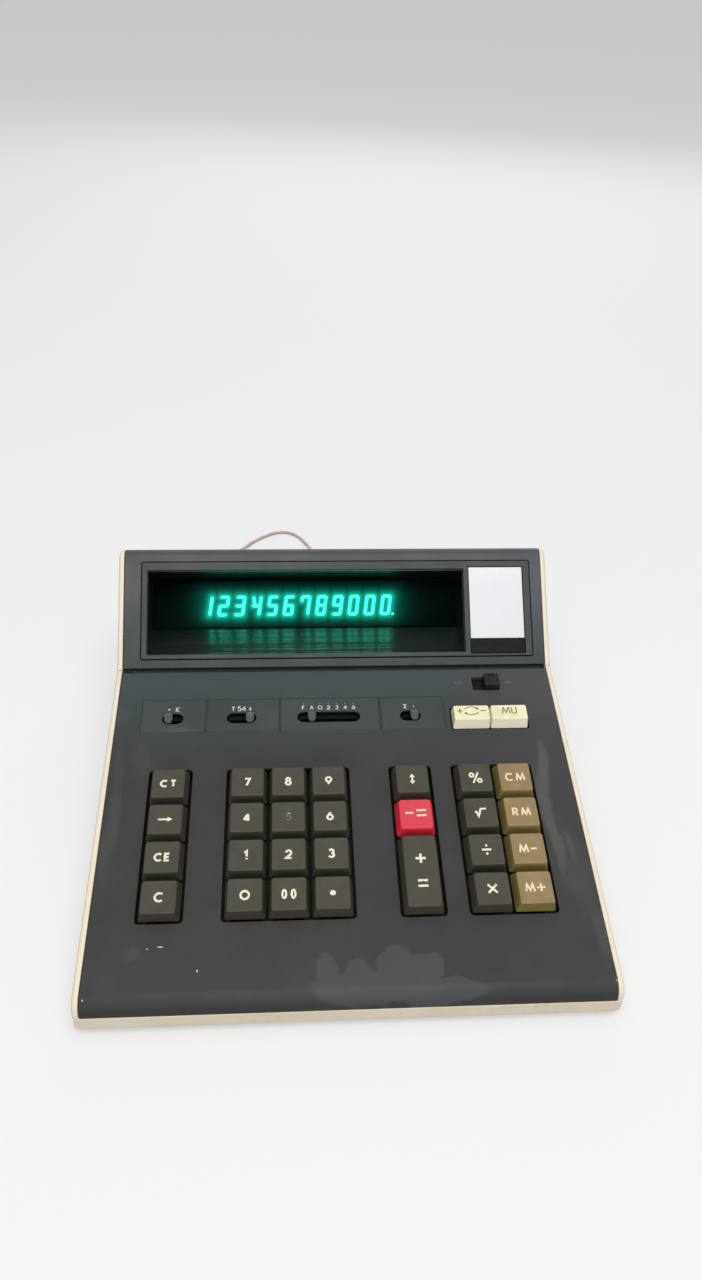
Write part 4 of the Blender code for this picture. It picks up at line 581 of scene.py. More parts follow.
def key_plastic(name, side, top):
    """Keycap plastic: top and skirts in two colours, partly wear, partly painted light; finger
    marks in the dish.
    """
    made = Surface(name, side, 0.55, Specular_IOR_Level=0.35)
    # the top's colour over the skirts', chosen by which way the surface faces: painted light,
    # partly wear
    upward = made.facing(UP_PANEL, 0.8, 0.98)
    made.tint(top, upward)
    made.tint(shaded(top, 1.25), upward, made.grain(0.006, 3, 0.5, 0.8))
    made.tint(shaded(top, 0.8), upward, made.grain(0.011, 3, 0.55, 0.8, seed=4))
    made.polish(0.45, made.grain(0.005, 2, 0.4, 0.7, seed=2))
    made.relief(made.grain(0.0004, 2), 0.00002)
    return made


def ink(name, colour, under):
    """Printed ink, thin and chipped in places so that what is under it shows."""
    made = Surface(name, colour, 0.5)
    made.tint(shaded(colour, 0.8), made.grain(0.0012, 3, 0.4, 0.7))
    made.tint(under, made.grain(0.0009, 3, 0.63, 0.68, seed=7))
    return made


SURFACES.update({look: key_plastic(look, *colours) for look, colours in KEY_LIT_AND_SHADED_COLOURS.items()})
SURFACES.update({look: ink(*colours) for look, colours in INKS.items()})
print(f"{len(KEY_LIT_AND_SHADED_COLOURS)} key plastics and {len(INKS)} inks")

# %% [markdown]
# The case is cream plastic, gone a little yellow, with grime in its pores. The bright plate is
# brushed: a noise stretched along one axis gives the fine parallel scratches. The shadow box is
# gloss black, and a relief of long waves breaks up the digits' reflections on it. The filter is
# dark green acrylic. Real glass would need light traced through it, so the filter is a thin
# see-through skin that holds back half of the light at each of its two faces. Most of the rest
# needs only two colours mixed by a grain, so a table and one function make them.

# %% Finishes: case, plate, plastics, rubber and metals
def flecked(name, colour, roughness, second, grain, relief=None, stretch=None, **settings):
    """Two colours mixed by a grain, and at need a fine relief: size, detail and depth."""
    made = Surface(name, colour, roughness, **settings)
    made.tint(second, made.grain(*grain, stretch=stretch))
    if relief:
        made.relief(made.grain(*relief[:2]), relief[2])
    return made


cream = flecked("cream_casing", (0.78, 0.68, 0.52), 0.45, (0.8, 0.73, 0.6), (0.02, 3, 0.4, 0.7))
clouds = cream.grain(0.05, 3, 0.5, 0.75, seed=6)
grime = cream.times(clouds, cream.grain(0.004, 4, 0.45, 0.75, seed=9))
cream.tint((0.62, 0.5, 0.34), grime, 0.55)
cream.polish(0.6, cream.grain(0.008, 3, 0.4, 0.7, seed=3))
cream.relief(cream.grain(0.0007, 2), 0.00004)

box = flecked(
    "gloss_black", (0.004, 0.009, 0.01), 0.22, (0.008, 0.013, 0.014), (0.03, 2, 0.4, 0.7), IOR=2.7,
)
box.relief(box.grain(0.0007, 0, 0.3, 0.7, stretch=(0.005, 1, 1)), 0.00009)

plate = Surface("silver_plate", (0.63, 0.64, 0.66), 0.5, metallic=0.3)
brushed = plate.grain(0.004, 4, 0.3, 0.7, stretch=(1, 8, 8))
plate.tint((0.55, 0.565, 0.59), brushed)
plate.tint((0.56, 0.57, 0.6), plate.fade(2, 0.088, 0.083), 0.6)
plate.relief(brushed, 0.00001)

steel = Surface("transformer_steel", (0.3, 0.29, 0.28), 0.45, metallic=0.8)
steel.relief(steel.grain(0.0008, 1, stretch=(0.05, 0.05, 3)), 0.0001)

brass = flecked(
    "pin_brass", (0.62, 0.47, 0.22), 0.3, (0.42, 0.3, 0.14), (0.003, 3, 0.5, 0.75), metallic=1.0,
)
brass.polish(0.5, brass.grain(0.0015, 2, 0.45, 0.7, stretch=(0.2, 1, 1)))
SURFACES.update(cream=cream, box=box, plate=plate, steel=steel, brass=brass)

# finish: material, colour, roughness, second colour, its grain and at need a relief
FLECKED = {
    "knob": (
        "smoked_knob", (0.056, 0.061, 0.061), 0.4, (0.088, 0.094, 0.094),
        (0.002, 2, 0.4, 0.7),
    ),
    "black": (
        "black_plastic", (0.009, 0.009, 0.0105), 0.5, (0.02, 0.02, 0.022), (0.004, 3, 0.5, 0.8),
        (0.0005, 2, 0.00003),
    ),
    "shade": ("shaded_black", (0.02, 0.03, 0.032), 0.75, (0.03, 0.041, 0.043), (0.01, 2, 0.4, 0.7)),
    # painted shade: near black for what is seen down the slots, the switch bank and the power
    # knob's apron
    "slot_shade": (
        "switch_black", (0.004, 0.005, 0.006), 0.7, (0.009, 0.01, 0.011),
        (0.005, 2, 0.5, 0.8),
    ),
    "strip": (
        "strip_enamel", (0.004, 0.004, 0.0045), 0.5, (0.009, 0.0085, 0.0095),
        (0.003, 3, 0.4, 0.75), (0.0006, 2, 0.00002),
    ),
    "board": (
        "circuit_board", (0.02, 0.1, 0.045), 0.35, (0.03, 0.15, 0.06),
        (0.003, 1, 0.45, 0.55),
    ),
    "screw": ("screw_steel", (0.42, 0.42, 0.4), 0.35, (0.25, 0.22, 0.18), (0.002, 3, 0.5, 0.8)),
    "sleeve": ("sleeve_blue", (0.02, 0.06, 0.22), 0.35, (0.03, 0.09, 0.3), (0.006, 2, 0.4, 0.7)),
    "clay": ("part_brown", (0.28, 0.16, 0.08), 0.5, (0.4, 0.25, 0.12), (0.004, 2, 0.4, 0.7)),
    "rubber": ("foot_rubber", (0.02, 0.02, 0.02), 0.85, (0.06, 0.055, 0.05), (0.004, 3, 0.5, 0.8)),
    "lead": ("pale_lead", (0.62, 0.5, 0.43), 0.45, (0.5, 0.38, 0.31), (0.008, 3, 0.45, 0.75)),
    "filter": (
        "smoked_filter", (0.002, 0.006, 0.005), 0.35, (0.004, 0.009, 0.008),
        (0.02, 2, 0.4, 0.7),
    ),
}
MORE = {
    "black": {"Specular_IOR_Level": 0.35}, "shade": {"Specular_IOR_Level": 0.3},
    "slot_shade": {"Specular_IOR_Level": 0.2}, "strip": {"Specular_IOR_Level": 0.12},
    "board": {"stretch": (1, 4, 1)}, "screw": {"metallic": 1.0},
    "filter": {"Specular_IOR_Level": 0.0, "Alpha": 0.5},
}
SURFACES.update({look: flecked(*row, **MORE.get(look, {})) for look, row in FLECKED.items()})
print(f"{len(SURFACES)} finishes so far")

# %% [markdown]
# The tube's digits give their own light, and a halo hangs about them in the glass. One strength
# would make the halo a flat sheet of light. How strong it glows is stored on its mesh instead,
# point by point, as an attribute named glow, and the finish only reads it.

# %% Finishes: tube and glow
LIT_STRENGTH, HALO_STRENGTH = 9.5, 8.0
lit = Surface("lit_segments", (0.0, 0.1, 0.08), 0.5).glow((0.04, 1.0, 0.54), LIT_STRENGTH)
halo = Surface("tube_glow", (0.001, 0.006, 0.006), 0.6, Specular_IOR_Level=0.0)
stored = halo.node("Attribute", attribute_name="glow").outputs["Fac"]
halo.glow((0.008, 0.42, 0.29), halo.times(stored, HALO_STRENGTH))
glass = Surface("tube_glass", (0.002, 0.006, 0.006), 0.3, Specular_IOR_Level=0.05)
SURFACES.update(lit=lit, halo=halo, glass=glass)
LOOK = {name: made.material for name, made in SURFACES.items()}
print(f"{len(LOOK)} finishes")

# %% [markdown]
# CAD nodes whose shape is right as it is stay in the picture and only need a finish. A node that
# a piece stands for later is hidden then, so it may keep the finish of its family.

# %% Dress the nodes
WEARS = {
    "panel": "keyboard_panel", "hood": "hood_shell", "bezel": "display_bezel",
    "label": "switch_label", "cream": "front_case rear_case lower_case",
    "plate": "bright_plate", "box": "shadow_box", "glass": "display_tube",
    # the switch bank under the slots is painted near black: painted shade
    "filter": "display_filter", "board": "display_board logic_board", "slot_shade": "switch_bank",
    "black": "contact_board key_frame coil_tie power_slider", "steel": "transformer",
    "lead": "lead_relief mains_plug", "red_key": "key_minus_equals",
    "pale_key": "key_sign_change key_mark_up",
    "khaki_key": "key_memory_clear key_memory_recall key_memory_minus key_memory_plus",
}
FINISH_OF = {node: look for look, nodes in WEARS.items() for node in nodes.split()}


def finish_of(name):
    """The finish of a node, by its name or by the family that its name shows."""
    if name in FINISH_OF:
        return FINISH_OF[name]
    if name.startswith("key_"):
        return "dark_key"
    if name.startswith("foot_"):
        return "rubber"
    return "knob" if name.endswith("_slider") else None


dressed = {name: LOOK[finish_of(name)] for name in NODES if finish_of(name)}
for name, material in dressed.items():
    NODES[name].data.materials.clear()
    NODES[name].data.materials.append(material)
LEAD.data.materials.append(LOOK["lead"])
print(f"{len(dressed)} of {len(NODES)} nodes dressed")

# %% [markdown]
# Every piece is a mesh whose points are already in place, because the frame wants nothing left
# on an object but its mesh. A piece either stands for a CAD node or sits on one. Smooth shading
# alone would smear light over flat faces, so sharp turns are marked as creases and the normals
# are weighted by the size of the faces: flat stays flat, and only the rounded edges shade.

# %% Mesh helpers: pieces
ONE_SQUARE_MM = 1e-6
JOIN_DISTANCE = 1e-6
FLAT_TURN = 0.5


def make_piece(name, bm, place, looks, stands_for=(), body="case", sharp=38):
    """Turns a bmesh into a riding piece: smooth, creased where it turns sharply, and flat on
    any face that is larger than its neighbours."""
    bm.transform(place)
    bmesh.ops.recalc_face_normals(bm, faces=bm.faces)
    mesh = bpy.data.meshes.new(name)
    bm.to_mesh(mesh)
    bm.free()
    for look in looks:
        mesh.materials.append(LOOK[look])
    mesh.shade_smooth()
    mesh.set_sharp_from_angle(angle=math.radians(sharp))
    made = bpy.data.objects.new(name, mesh)
    bpy.context.scene.collection.objects.link(made)
    weighted = made.modifiers.new("weighted", "WEIGHTED_NORMAL")
    weighted.keep_sharp = True
    weighted.weight = 100
    weighted.thresh = ONE_SQUARE_MM
    graph = bpy.context.evaluated_depsgraph_get()
    made.data = bpy.data.meshes.new_from_object(made.evaluated_get(graph), depsgraph=graph)
    made.modifiers.clear()
    made.data.name = name
    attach(made, body)
    if stands_for:
        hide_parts(*stands_for)
    return made


def repaint(made, look, chosen):
    """One more finish on a piece, for the faces that a rule chooses."""
    made.data.materials.append(LOOK[look])
    last = len(made.data.materials) - 1
    for face in made.data.polygons:
        if chosen(face):
            face.material_index = last


print("a piece is one bmesh, placed, shaded and handed to the frame")

# %% [markdown]
# A moulded or painted shell has no sharp edge: each is rounded by a few tenths of a millimetre,
# and that thin line of light is what makes it look real. The CAD solids have sharp edges, so
# their triangles are merged back into flat faces and the edges between them are bevelled.

# %% Mesh helpers: rounded copies of CAD nodes
# The back wall is cut once through the middle of its row of slots. A face with a hole in it needs
# a long edge from the hole to its rim, and such an edge folds over when the hole is rounded.
SLOTS_MIDDLE = Vector((0, 111.83, 71.5)) * MM
BACK_SLOPE = math.radians(52)
BACK_FACING = Vector((0, math.sin(BACK_SLOPE), math.cos(BACK_SLOPE)))


def cut_through(bm, point, facing):
    """A level cut across the walls that face one way; gives its corners and edges."""
    walls = [f for f in bm.faces if abs(f.normal.dot(facing)) > 0.999]
    edges = {e for f in walls for e in f.edges}
    verts = {v for f in walls for v in f.verts}
    upward = Vector((0, -facing.z, facing.y))
    made = bmesh.ops.bisect_plane(
        bm, geom=[*verts, *edges, *walls], dist=1e-7, plane_co=point, plane_no=upward,
    )
    return set(made["geom_cut"])


def rounded_copy(node, width, sharp=35):
    """A CAD node's own mesh, with every edge that turns sharply rounded to this width."""
    bm = bmesh.new()
    bm.from_mesh(NODES[node].data)
    bmesh.ops.remove_doubles(bm, verts=bm.verts, dist=JOIN_DISTANCE)
    kept = cut_through(bm, SLOTS_MIDDLE, BACK_FACING) if node == "rear_case" else set()
    bmesh.ops.dissolve_limit(
        bm, angle_limit=math.radians(FLAT_TURN), verts=[v for v in bm.verts if v not in kept],
        edges=[e for e in bm.edges if e not in kept],
    )
    edges = [
        e for e in bm.edges
        if len(e.link_faces) == 2 and e.calc_face_angle() > math.radians(sharp)
    ]
    bmesh.ops.bevel(
        bm, geom=edges, offset=width, segments=2, profile=0.5, affect="EDGES",
        clamp_overlap=False,
    )
    return bm


def softened(node, look, width, sharp=35):
    """A CAD node's own shape with its sharp edges rounded, standing for the node."""
    bm = rounded_copy(node, width, sharp)
    return make_piece(node + "_skin", bm, HERE, [look], [node])


print("edges that turn by more than 35 degrees are rounded")

# %% [markdown]
# Keys, knobs, pads and sleeves are all one kind of shape: a stack of outlines with equally many
# points, joined by walls. Built from numbers, such a stack can be given any profile, which a
# scaled and bevelled cube can't. Printed marks are flat ribbons laid just over the surface.

# %% Mesh helpers: stacks of outlines and flat prints
RIBBON_STEP = 1.0 * MM
SHARPEST_MITRE = 0.45


def bridge(bm, one, two, material=0):
    for i in range(len(one)):
        j = (i + 1) % len(one)
        bm.faces.new((one[i], one[j], two[j], two[i])).material_index = material


def stack(bm, outlines, caps=(0, -1)):
    """Walls between outlines of equally many points, and a cap on those that are named."""
    rings = [[bm.verts.new(p) for p in outline] for outline in outlines]
    for one, two in zip(rings, rings[1:]):
        bridge(bm, one, two)
    for end in caps:
        bm.faces.new(rings[end])
    return rings


def rounded_ring(low_x, high_x, low_y, high_y, radius, z, corner=4, side=2):
    """A rounded rectangle with a fixed number of points; z is a height or a rule for one."""
    points = []
    centres = (
        (high_x - radius, high_y - radius), (low_x + radius, high_y - radius),
        (low_x + radius, low_y + radius), (high_x - radius, low_y + radius),
    )
    for k, (cx, cy) in enumerate(centres):
        arc = [
            (cx + radius * math.cos(a), cy + radius * math.sin(a))
            for a in (math.pi / 2 * (k + i / corner) for i in range(corner + 1))
        ]
        points += arc
        nx, ny = centres[(k + 1) % 4]
        turn = math.pi / 2 * (k + 1)
        x, y = arc[-1]
        step_x = nx + radius * math.cos(turn) - x
        step_y = ny + radius * math.sin(turn) - y
        for i in range(1, side + 1):
            t = i / (side + 1)
            points.append((x + step_x * t, y + step_y * t))
    return [Vector((x, y, z(x, y) if callable(z) else z)) for x, y in points]


def centred_ring(half_x, half_y, radius, z, corner=4, side=2):
    return rounded_ring(-half_x, half_x, -half_y, half_y, radius, z, corner, side)


def inset_rings(sides, radius, profile):
    """One rounded outline for each inset and height of a profile in millimetres."""
    low_x, high_x, low_y, high_y = sides
    return [
        rounded_ring(
            low_x + inset * MM, high_x - inset * MM, low_y + inset * MM, high_y - inset * MM,
            radius, z * MM,
        )
        for inset, z in profile
    ]


def lay_ribbon(bm, points, width, height, lift, material, closed=False):
    """A flat printed line through the points, laid over a surface given by its height rule."""
    line = [Vector(p).to_2d() for p in points]
    if closed:
        line.append(line[0])
    fine = [line[0]]
    for a, b in zip(line, line[1:]):
        steps = max(1, math.ceil((b - a).length / RIBBON_STEP))
        fine += [a.lerp(b, i / steps) for i in range(1, steps + 1)]
    ends = (fine[-2], fine[1]) if closed else (2 * fine[0] - fine[1], 2 * fine[-1] - fine[-2])
    fine = [ends[0], *fine, ends[1]]
    made = []
    for before, here, after in zip(fine, fine[1:], fine[2:]):
        one, two = (here - before).normalized(), (after - here).normalized()
        mean = one + two
        mean = mean.normalized() if mean.length > 1e-6 else one
        across = Vector((-mean.y, mean.x))
        reach = width / 2 / max(SHARPEST_MITRE, across.dot(Vector((-one.y, one.x))))
        pair = (here + across * reach, here - across * reach)
        made.append([bm.verts.new((p.x, p.y, height(p.x, p.y) + lift)) for p in pair])
    for a, b in zip(made, made[1:]):
        bm.faces.new((a[0], a[1], b[1], b[0])).material_index = material


def fan(bm, ring, centre, material=0):
    """Triangles from each side of a ring to one point."""
    for i, vert in enumerate(ring):
        bm.faces.new((vert, ring[(i + 1) % len(ring)], centre)).material_index = material


def lay_shape(bm, points, height, lift, material):
    """A flat printed shape, filled from its middle."""
    middle = sum((Vector(p) for p in points), Vector((0, 0))) / len(points)
    centre = bm.verts.new((middle.x, middle.y, height(middle.x, middle.y) + lift))
    ring = [bm.verts.new((x, y, height(x, y) + lift)) for x, y in points]
    fan(bm, ring, centre, material)


print(f"a rounded outline has {len(centred_ring(1, 1, 0.1, 0))} points")

# %% [markdown]
# The legends are plain numbers, signs and letters, printed in bold capitals. A text object with
# a font would come out with that font's shapes and a heavy mesh. Here each sign is a few lines
# on a grid one unit tall, given by its width and its strokes, and the ribbon gives them weight.

# %% Signs: strokes
def bow(cx, cy, rx, ry, start, end, steps=14):
    turns = [math.radians(start + (end - start) * i / steps) for i in range(steps + 1)]
    return [(cx + rx * math.cos(a), cy + ry * math.sin(a)) for a in turns]


def loop(cx, cy, rx, ry, steps=20):
    return ("loop", bow(cx, cy, rx, ry, 0, 360 - 360 / steps, steps - 1))


def filled(points):
    return ("fill", points)


def dot(cx, cy, radius, end, steps):
    return filled(bow(cx, cy, radius, radius, 0, end, steps))


SIGNS = {
    "0": (0.94, [loop(0.47, 0.5, 0.47, 0.5)]),
    "o": (0.42, [loop(0.21, 0.5, 0.21, 0.5)]),
    "1": (0.3, [[(0, 0.8), (0.26, 1), (0.26, 0.34)], [(0.26, 0.17), (0.26, 0)]]),
    "2": (0.7, [bow(0.34, 0.69, 0.31, 0.31, 172, -38) + [(0, 0), (0.7, 0)]]),
    "3": (0.62, [bow(0.31, 0.76, 0.25, 0.24, 160, -90), bow(0.3, 0.27, 0.31, 0.27, 90, -158)]),
    "4": (0.74, [
        [(0.54, 0), (0.54, 1)], [(0.52, 0.98), (0.02, 0.26)],
        [(0, 0.26), (0.46, 0.26)], [(0.63, 0.26), (0.74, 0.26)],
    ]),
    "5": (0.6, [[(0.56, 1), (0.12, 1), (0.05, 0.56)] + bow(0.28, 0.31, 0.32, 0.31, 118, -150)]),
    "6": (0.66, [loop(0.33, 0.33, 0.33, 0.33), [(0.06, 0.5), (0.43, 1)]]),
    "7": (0.64, [[(0, 1), (0.62, 1), (0.2, 0)]]),
    "8": (0.6, [loop(0.3, 0.76, 0.235, 0.24), loop(0.3, 0.27, 0.3, 0.27)]),
    "9": (0.66, [loop(0.33, 0.67, 0.33, 0.33), [(0.6, 0.5), (0.23, 0)]]),
    "A": (0.7, [[(0, 0), (0.35, 1), (0.7, 0)], [(0.14, 0.34), (0.56, 0.34)]]),
    "C": (0.84, [bow(0.5, 0.5, 0.5, 0.5, 48, 312, 20)]),
    "E": (0.56, [[(0.56, 1), (0, 1), (0, 0), (0.56, 0)], [(0, 0.5), (0.5, 0.5)]]),
    "F": (0.5, [[(0.5, 1), (0, 1), (0, 0)], [(0, 0.52), (0.42, 0.52)]]),
    "K": (0.6, [[(0, 0), (0, 1)], [(0.6, 1), (0.03, 0.45), (0.6, 0)]]),
    "M": (1.04, [[(0, 0), (0.17, 1), (0.52, 0.14), (0.87, 1), (1.04, 0)]]),
    "N": (0.8, [[(0, 0), (0, 1), (0.8, 0), (0.8, 1)]]),
    "O": (0.94, [loop(0.47, 0.5, 0.47, 0.5)]),
    "R": (0.58, [
        [(0, 0), (0, 1)] + bow(0.27, 0.75, 0.27, 0.25, 90, -90) + [(0, 0.5)],
        [(0.26, 0.5), (0.58, 0)],
    ]),
    "S": (0.7, [[(0.7, 1), (0, 1), (0.4, 0.5), (0, 0), (0.7, 0)]]),
    "T": (0.7, [[(0, 1), (0.7, 1)], [(0.35, 1), (0.35, 0)]]),
    "U": (0.6, [[(0, 1), (0, 0.3)] + bow(0.3, 0.3, 0.3, 0.3, 180, 360, 10) + [(0.6, 1)]]),
    "+": (1, [[(0, 0.5), (1, 0.5)], [(0.5, 0), (0.5, 1)]]),
    "-": (0.8, [[(0, 0.5), (0.8, 0.5)]]),
    "=": (0.98, [[(0, 0.79), (0.98, 0.79)], [(0, 0.21), (0.98, 0.21)]]),
    "x": (0.86, [[(0, 0.07), (0.86, 0.93)], [(0, 0.93), (0.86, 0.07)]]),
    "/": (1, [[(0, 0.5), (1, 0.5)], dot(0.5, 0.98, 0.14, 330, 11), dot(0.5, 0.02, 0.14, 330, 11)]),
    "%": (1.1, [
        loop(0.22, 0.78, 0.17, 0.19), loop(0.9, 0.2, 0.17, 0.19), [(0.3, -0.05), (0.82, 1.05)],
    ]),
    # a dot, a root, an arrow back, an exchange of two arrows, and arrows up and down
    ".": (0.6, [dot(0.3, 0.5, 0.3, 345, 23)]),
    "v": (1.3, [[(0, 0.52), (0.16, 0.62), (0.36, 0), (0.66, 1), (1.3, 1)]]),
    ">": (2, [[(0, 0.5), (1.6, 0.5)], filled([(1.3, 0.88), (2, 0.5), (1.3, 0.12)])]),
    "|": (0.6, [
        [(0.3, 0.2), (0.3, 0.8)], filled([(0, 0.72), (0.3, 1.14), (0.6, 0.72)]),
        filled([(0, 0.28), (0.3, -0.14), (0.6, 0.28)]),
    ]),
    "u": (0.5, [[(0.25, 0), (0.25, 0.9)], [(0, 0.62), (0.25, 1), (0.5, 0.62)]]),
    "d": (0.5, [[(0.25, 0.1), (0.25, 1)], [(0, 0.38), (0.25, 0), (0.5, 0.38)]]),
}
print(f"{len(SIGNS)} signs")

# %% Signs: words
KEY_PRINT, PANEL_PRINT = 0.03 * MM, 0.02 * MM


def lay_words(bm, words, middle, tall, width, gap, height, material, lift=KEY_PRINT):
    """Signs side by side about a middle; tall is the height over all of a capital."""
    scale = tall - width
    total = sum(SIGNS[c][0] for c in words) * scale + gap * (len(words) - 1)
    left = middle[0] - total / 2
    for c in words:
        span, strokes = SIGNS[c]
        for stroke in strokes:
            kind, points = stroke if isinstance(stroke, tuple) else ("line", stroke)
            at = [(left + x * scale, middle[1] + (y - 0.5) * scale) for x, y in points]
            if kind == "fill":
                lay_shape(bm, at, height, lift, material)
            else:
                lay_ribbon(bm, at, width, height, lift, material, closed=kind == "loop")
        left += span * scale + gap


print(f"prints stand {KEY_PRINT / MM:.2f} mm over the keys, {PANEL_PRINT / MM:.2f} over the panel")

# %% [markdown]
# A keycap of such a machine is moulded hollow, with skirts that draw in to a dished top, and it
# stands on a square stem that runs down through the panel into its guide. The cap is one stack
# of outlines from the stem's foot, out under the cap, up the skirts and in over the dish. The
# top's height is a rule, and the legend's points ask the same rule, so the print follows the
# dish exactly. A legend projected onto the mesh would need a modifier for every key.

# %% Keycaps: shape
KEY_BASE, KEY_PITCH = 18 * MM, 19 * MM
KEY_RISE, KEY_SINK, KEY_STEM_FOOT = 6 * MM, 1 * MM, -11.4 * MM
KEY_STEM_HALF, STEM_CORNER = 2 * MM, 0.3 * MM
SKIRT_THICK, ROOF_THICK, SKIRT_CHAMFER = 1.3 * MM, 1.6 * MM, 0.15 * MM
FIRST_ROW_Y = -72.25 * MM
ROW_Y = [FIRST_ROW_Y - i * KEY_PITCH for i in range(4)]
TOP_RINGS = 8
EDGE_STEPS = 4
# how far a skirt draws in: at each side, at the front and at the back
TAPERS = (1.5 * MM, 0.65 * MM, 2.35 * MM)
EDGE, CORNER = 0.45 * MM, 1.1 * MM


def key_shape(width, length, rise, tapers=TAPERS, edge=EDGE, corner=CORNER, dish=0.35 * MM):
    """The keycap's mesh, the rule that gives its top's height, and the middle of its top."""
    side, front, back = tapers
    foot = -KEY_SINK

    def span(z, inside=0.0):
        share = (z - foot) / (rise - foot)
        return (
            -width / 2 + side * share + inside, width / 2 - side * share - inside,
            -length / 2 + front * share + inside, length / 2 - back * share - inside,
        )

    def ring(z, inside=0.0, radius=corner, rule=None):
        return rounded_ring(*span(z, inside), radius, z if rule is None else rule)

    low_x, high_x, low_y, high_y = span(rise, edge)
    mid_x, mid_y = (low_x + high_x) / 2, (low_y + high_y) / 2
    half_x, half_y = (high_x - low_x) / 2, (high_y - low_y) / 2

    def top(x, y):
        u, v = (x - mid_x) / half_x, (y - mid_y) / half_y
        return rise - dish * max(0, 1 - u * u) * max(0, 1 - v * v)

    roof = rise - ROOF_THICK
    stem = [
        centred_ring(KEY_STEM_HALF, KEY_STEM_HALF, STEM_CORNER, z) for z in (KEY_STEM_FOOT, roof)
    ]
    hollow = [ring(z, SKIRT_THICK, corner / 2) for z in (roof, foot)]
    rim = [ring(foot, SKIRT_CHAMFER), ring(foot + SKIRT_CHAMFER)]
    skirt = [ring(foot + (rise - edge - foot) * share) for share in (0.35, 0.7)]
    rolled = []
    for i in range(EDGE_STEPS + 1):
        a = math.pi / 2 * i / EDGE_STEPS
        z = rise - edge + edge * math.sin(a)
        rolled.append(ring(rise - edge, edge * (1 - math.cos(a)), rule=z))
    dished = [
        rounded_ring(
            mid_x - half_x * t, mid_x + half_x * t, mid_y - half_y * t, mid_y + half_y * t,
            corner * t, top,
        )
        for t in (1 - i / TOP_RINGS for i in range(1, TOP_RINGS))
    ]
    bm = bmesh.new()
    made = stack(bm, [*stem, *hollow, *rim, *skirt, *rolled, *dished], caps=())
    foot_middle = bm.verts.new((0, 0, KEY_STEM_FOOT))
    crown = bm.verts.new((mid_x, mid_y, top(mid_x, mid_y)))
    fan(bm, made[0], foot_middle)
    fan(bm, made[-1], crown)
    return bm, top, (mid_x, mid_y)


def add_cap(bm, node, x, y, looks):
    """A cap in its place on the panel, riding on its own key and standing for its node."""
    make_piece(node + "_cap", bm, on_panel(x, y), looks, [node], node)


print("rows at", [round(y / MM, 2) for y in ROW_Y], "mm")

# %% [markdown]
# Twenty dark keys, the red one and four khaki ones share one square cap, and the legends are
# as tall and as bold as in the photograph, each with its own height. So most keys need only a
# line in a table. The exceptions are the worn five, the tall key and the two pale keys.

# %% Keycaps: the square keys
DARK = ("dark_key", "ink")
KHAKI = ("khaki_key", "warm_ink")
RED = ("red_key", "red_ink")
FUNCTIONS, DIGITS_LEFT, DIGITS_MIDDLE, DIGITS_RIGHT = -81.55, -44.8, -25.8, -6.8
TOTALS, OPERATORS, MEMORY = 32.85, 63.1, 82.1
# column, row, finish and ink, legend, its height and gap
PLAIN_KEYS = {
    "key_clear_total": (FUNCTIONS, 0, DARK, "CT", 4.1, 2.0),
    "key_step_back": (FUNCTIONS, 1, DARK, ">", 4.2, 0),
    "key_clear_entry": (FUNCTIONS, 2, DARK, "CE", 4.3, 1.7),
    "key_clear": (FUNCTIONS, 3, DARK, "C", 4.7, 0),
    "key_7": (DIGITS_LEFT, 0, DARK, "7", 4.6, 0),
    "key_8": (DIGITS_MIDDLE, 0, DARK, "8", 4.7, 0),
    "key_9": (DIGITS_RIGHT, 0, DARK, "9", 4.7, 0),
    "key_4": (DIGITS_LEFT, 1, DARK, "4", 4.6, 0),
    "key_6": (DIGITS_RIGHT, 1, DARK, "6", 4.7, 0),
    "key_1": (DIGITS_LEFT, 2, DARK, "1", 5.0, 0),
    "key_2": (DIGITS_MIDDLE, 2, DARK, "2", 4.7, 0),
    "key_3": (DIGITS_RIGHT, 2, DARK, "3", 4.7, 0),
    "key_0": (DIGITS_LEFT, 3, DARK, "0", 4.8, 0),
    "key_double_0": (DIGITS_MIDDLE, 3, DARK, "oo", 4.7, 2.4),
    "key_point": (DIGITS_RIGHT, 3, DARK, ".", 5.2, 0),
    "key_exchange": (TOTALS, 0, DARK, "|", 5.4, 0),
    "key_minus_equals": (TOTALS, 1, RED, "-=", 5.6, 1.5),
    "key_percent": (OPERATORS, 0, DARK, "%", 6.2, 0),
    "key_root": (OPERATORS, 1, DARK, "v", 5.0, 0),
    "key_divide": (OPERATORS, 2, DARK, "/", 5.2, 0),
    "key_multiply": (OPERATORS, 3, DARK, "x", 5.6, 0),
    "key_memory_clear": (MEMORY, 0, KHAKI, "CM", 4.5, 2.0),
    "key_memory_recall": (MEMORY, 1, KHAKI, "RM", 4.5, 2.0),
    "key_memory_minus": (MEMORY, 2, KHAKI, "M-", 4.5, 1.2),
    "key_memory_plus": (MEMORY, 3, KHAKI, "M+", 4.5, 1.2),
}
FINE_SIGNS = ("%", "v", ">", "|", "oo")
RED_EDGE, RED_CORNER, RED_LEGEND_LIFT = 0.8 * MM, 1.6 * MM, 0.6 * MM

for name, (x, row, looks, words, tall, gap) in PLAIN_KEYS.items():
    red = looks is RED
    edge, corner = (RED_EDGE, RED_CORNER) if red else (EDGE, CORNER)
    bm, top, middle = key_shape(KEY_BASE, KEY_BASE, KEY_RISE, edge=edge, corner=corner)
    stroke = 0.9 if words in FINE_SIGNS else 0.85 if looks is KHAKI else 1.0
    at = (middle[0], middle[1] + (RED_LEGEND_LIFT if red else 0))
    lay_words(bm, words, at, tall * MM, stroke * MM, gap * MM, top, 1)
    add_cap(bm, name, x * MM, ROW_Y[row], looks)

print(f"{len(PLAIN_KEYS)} square keycaps")

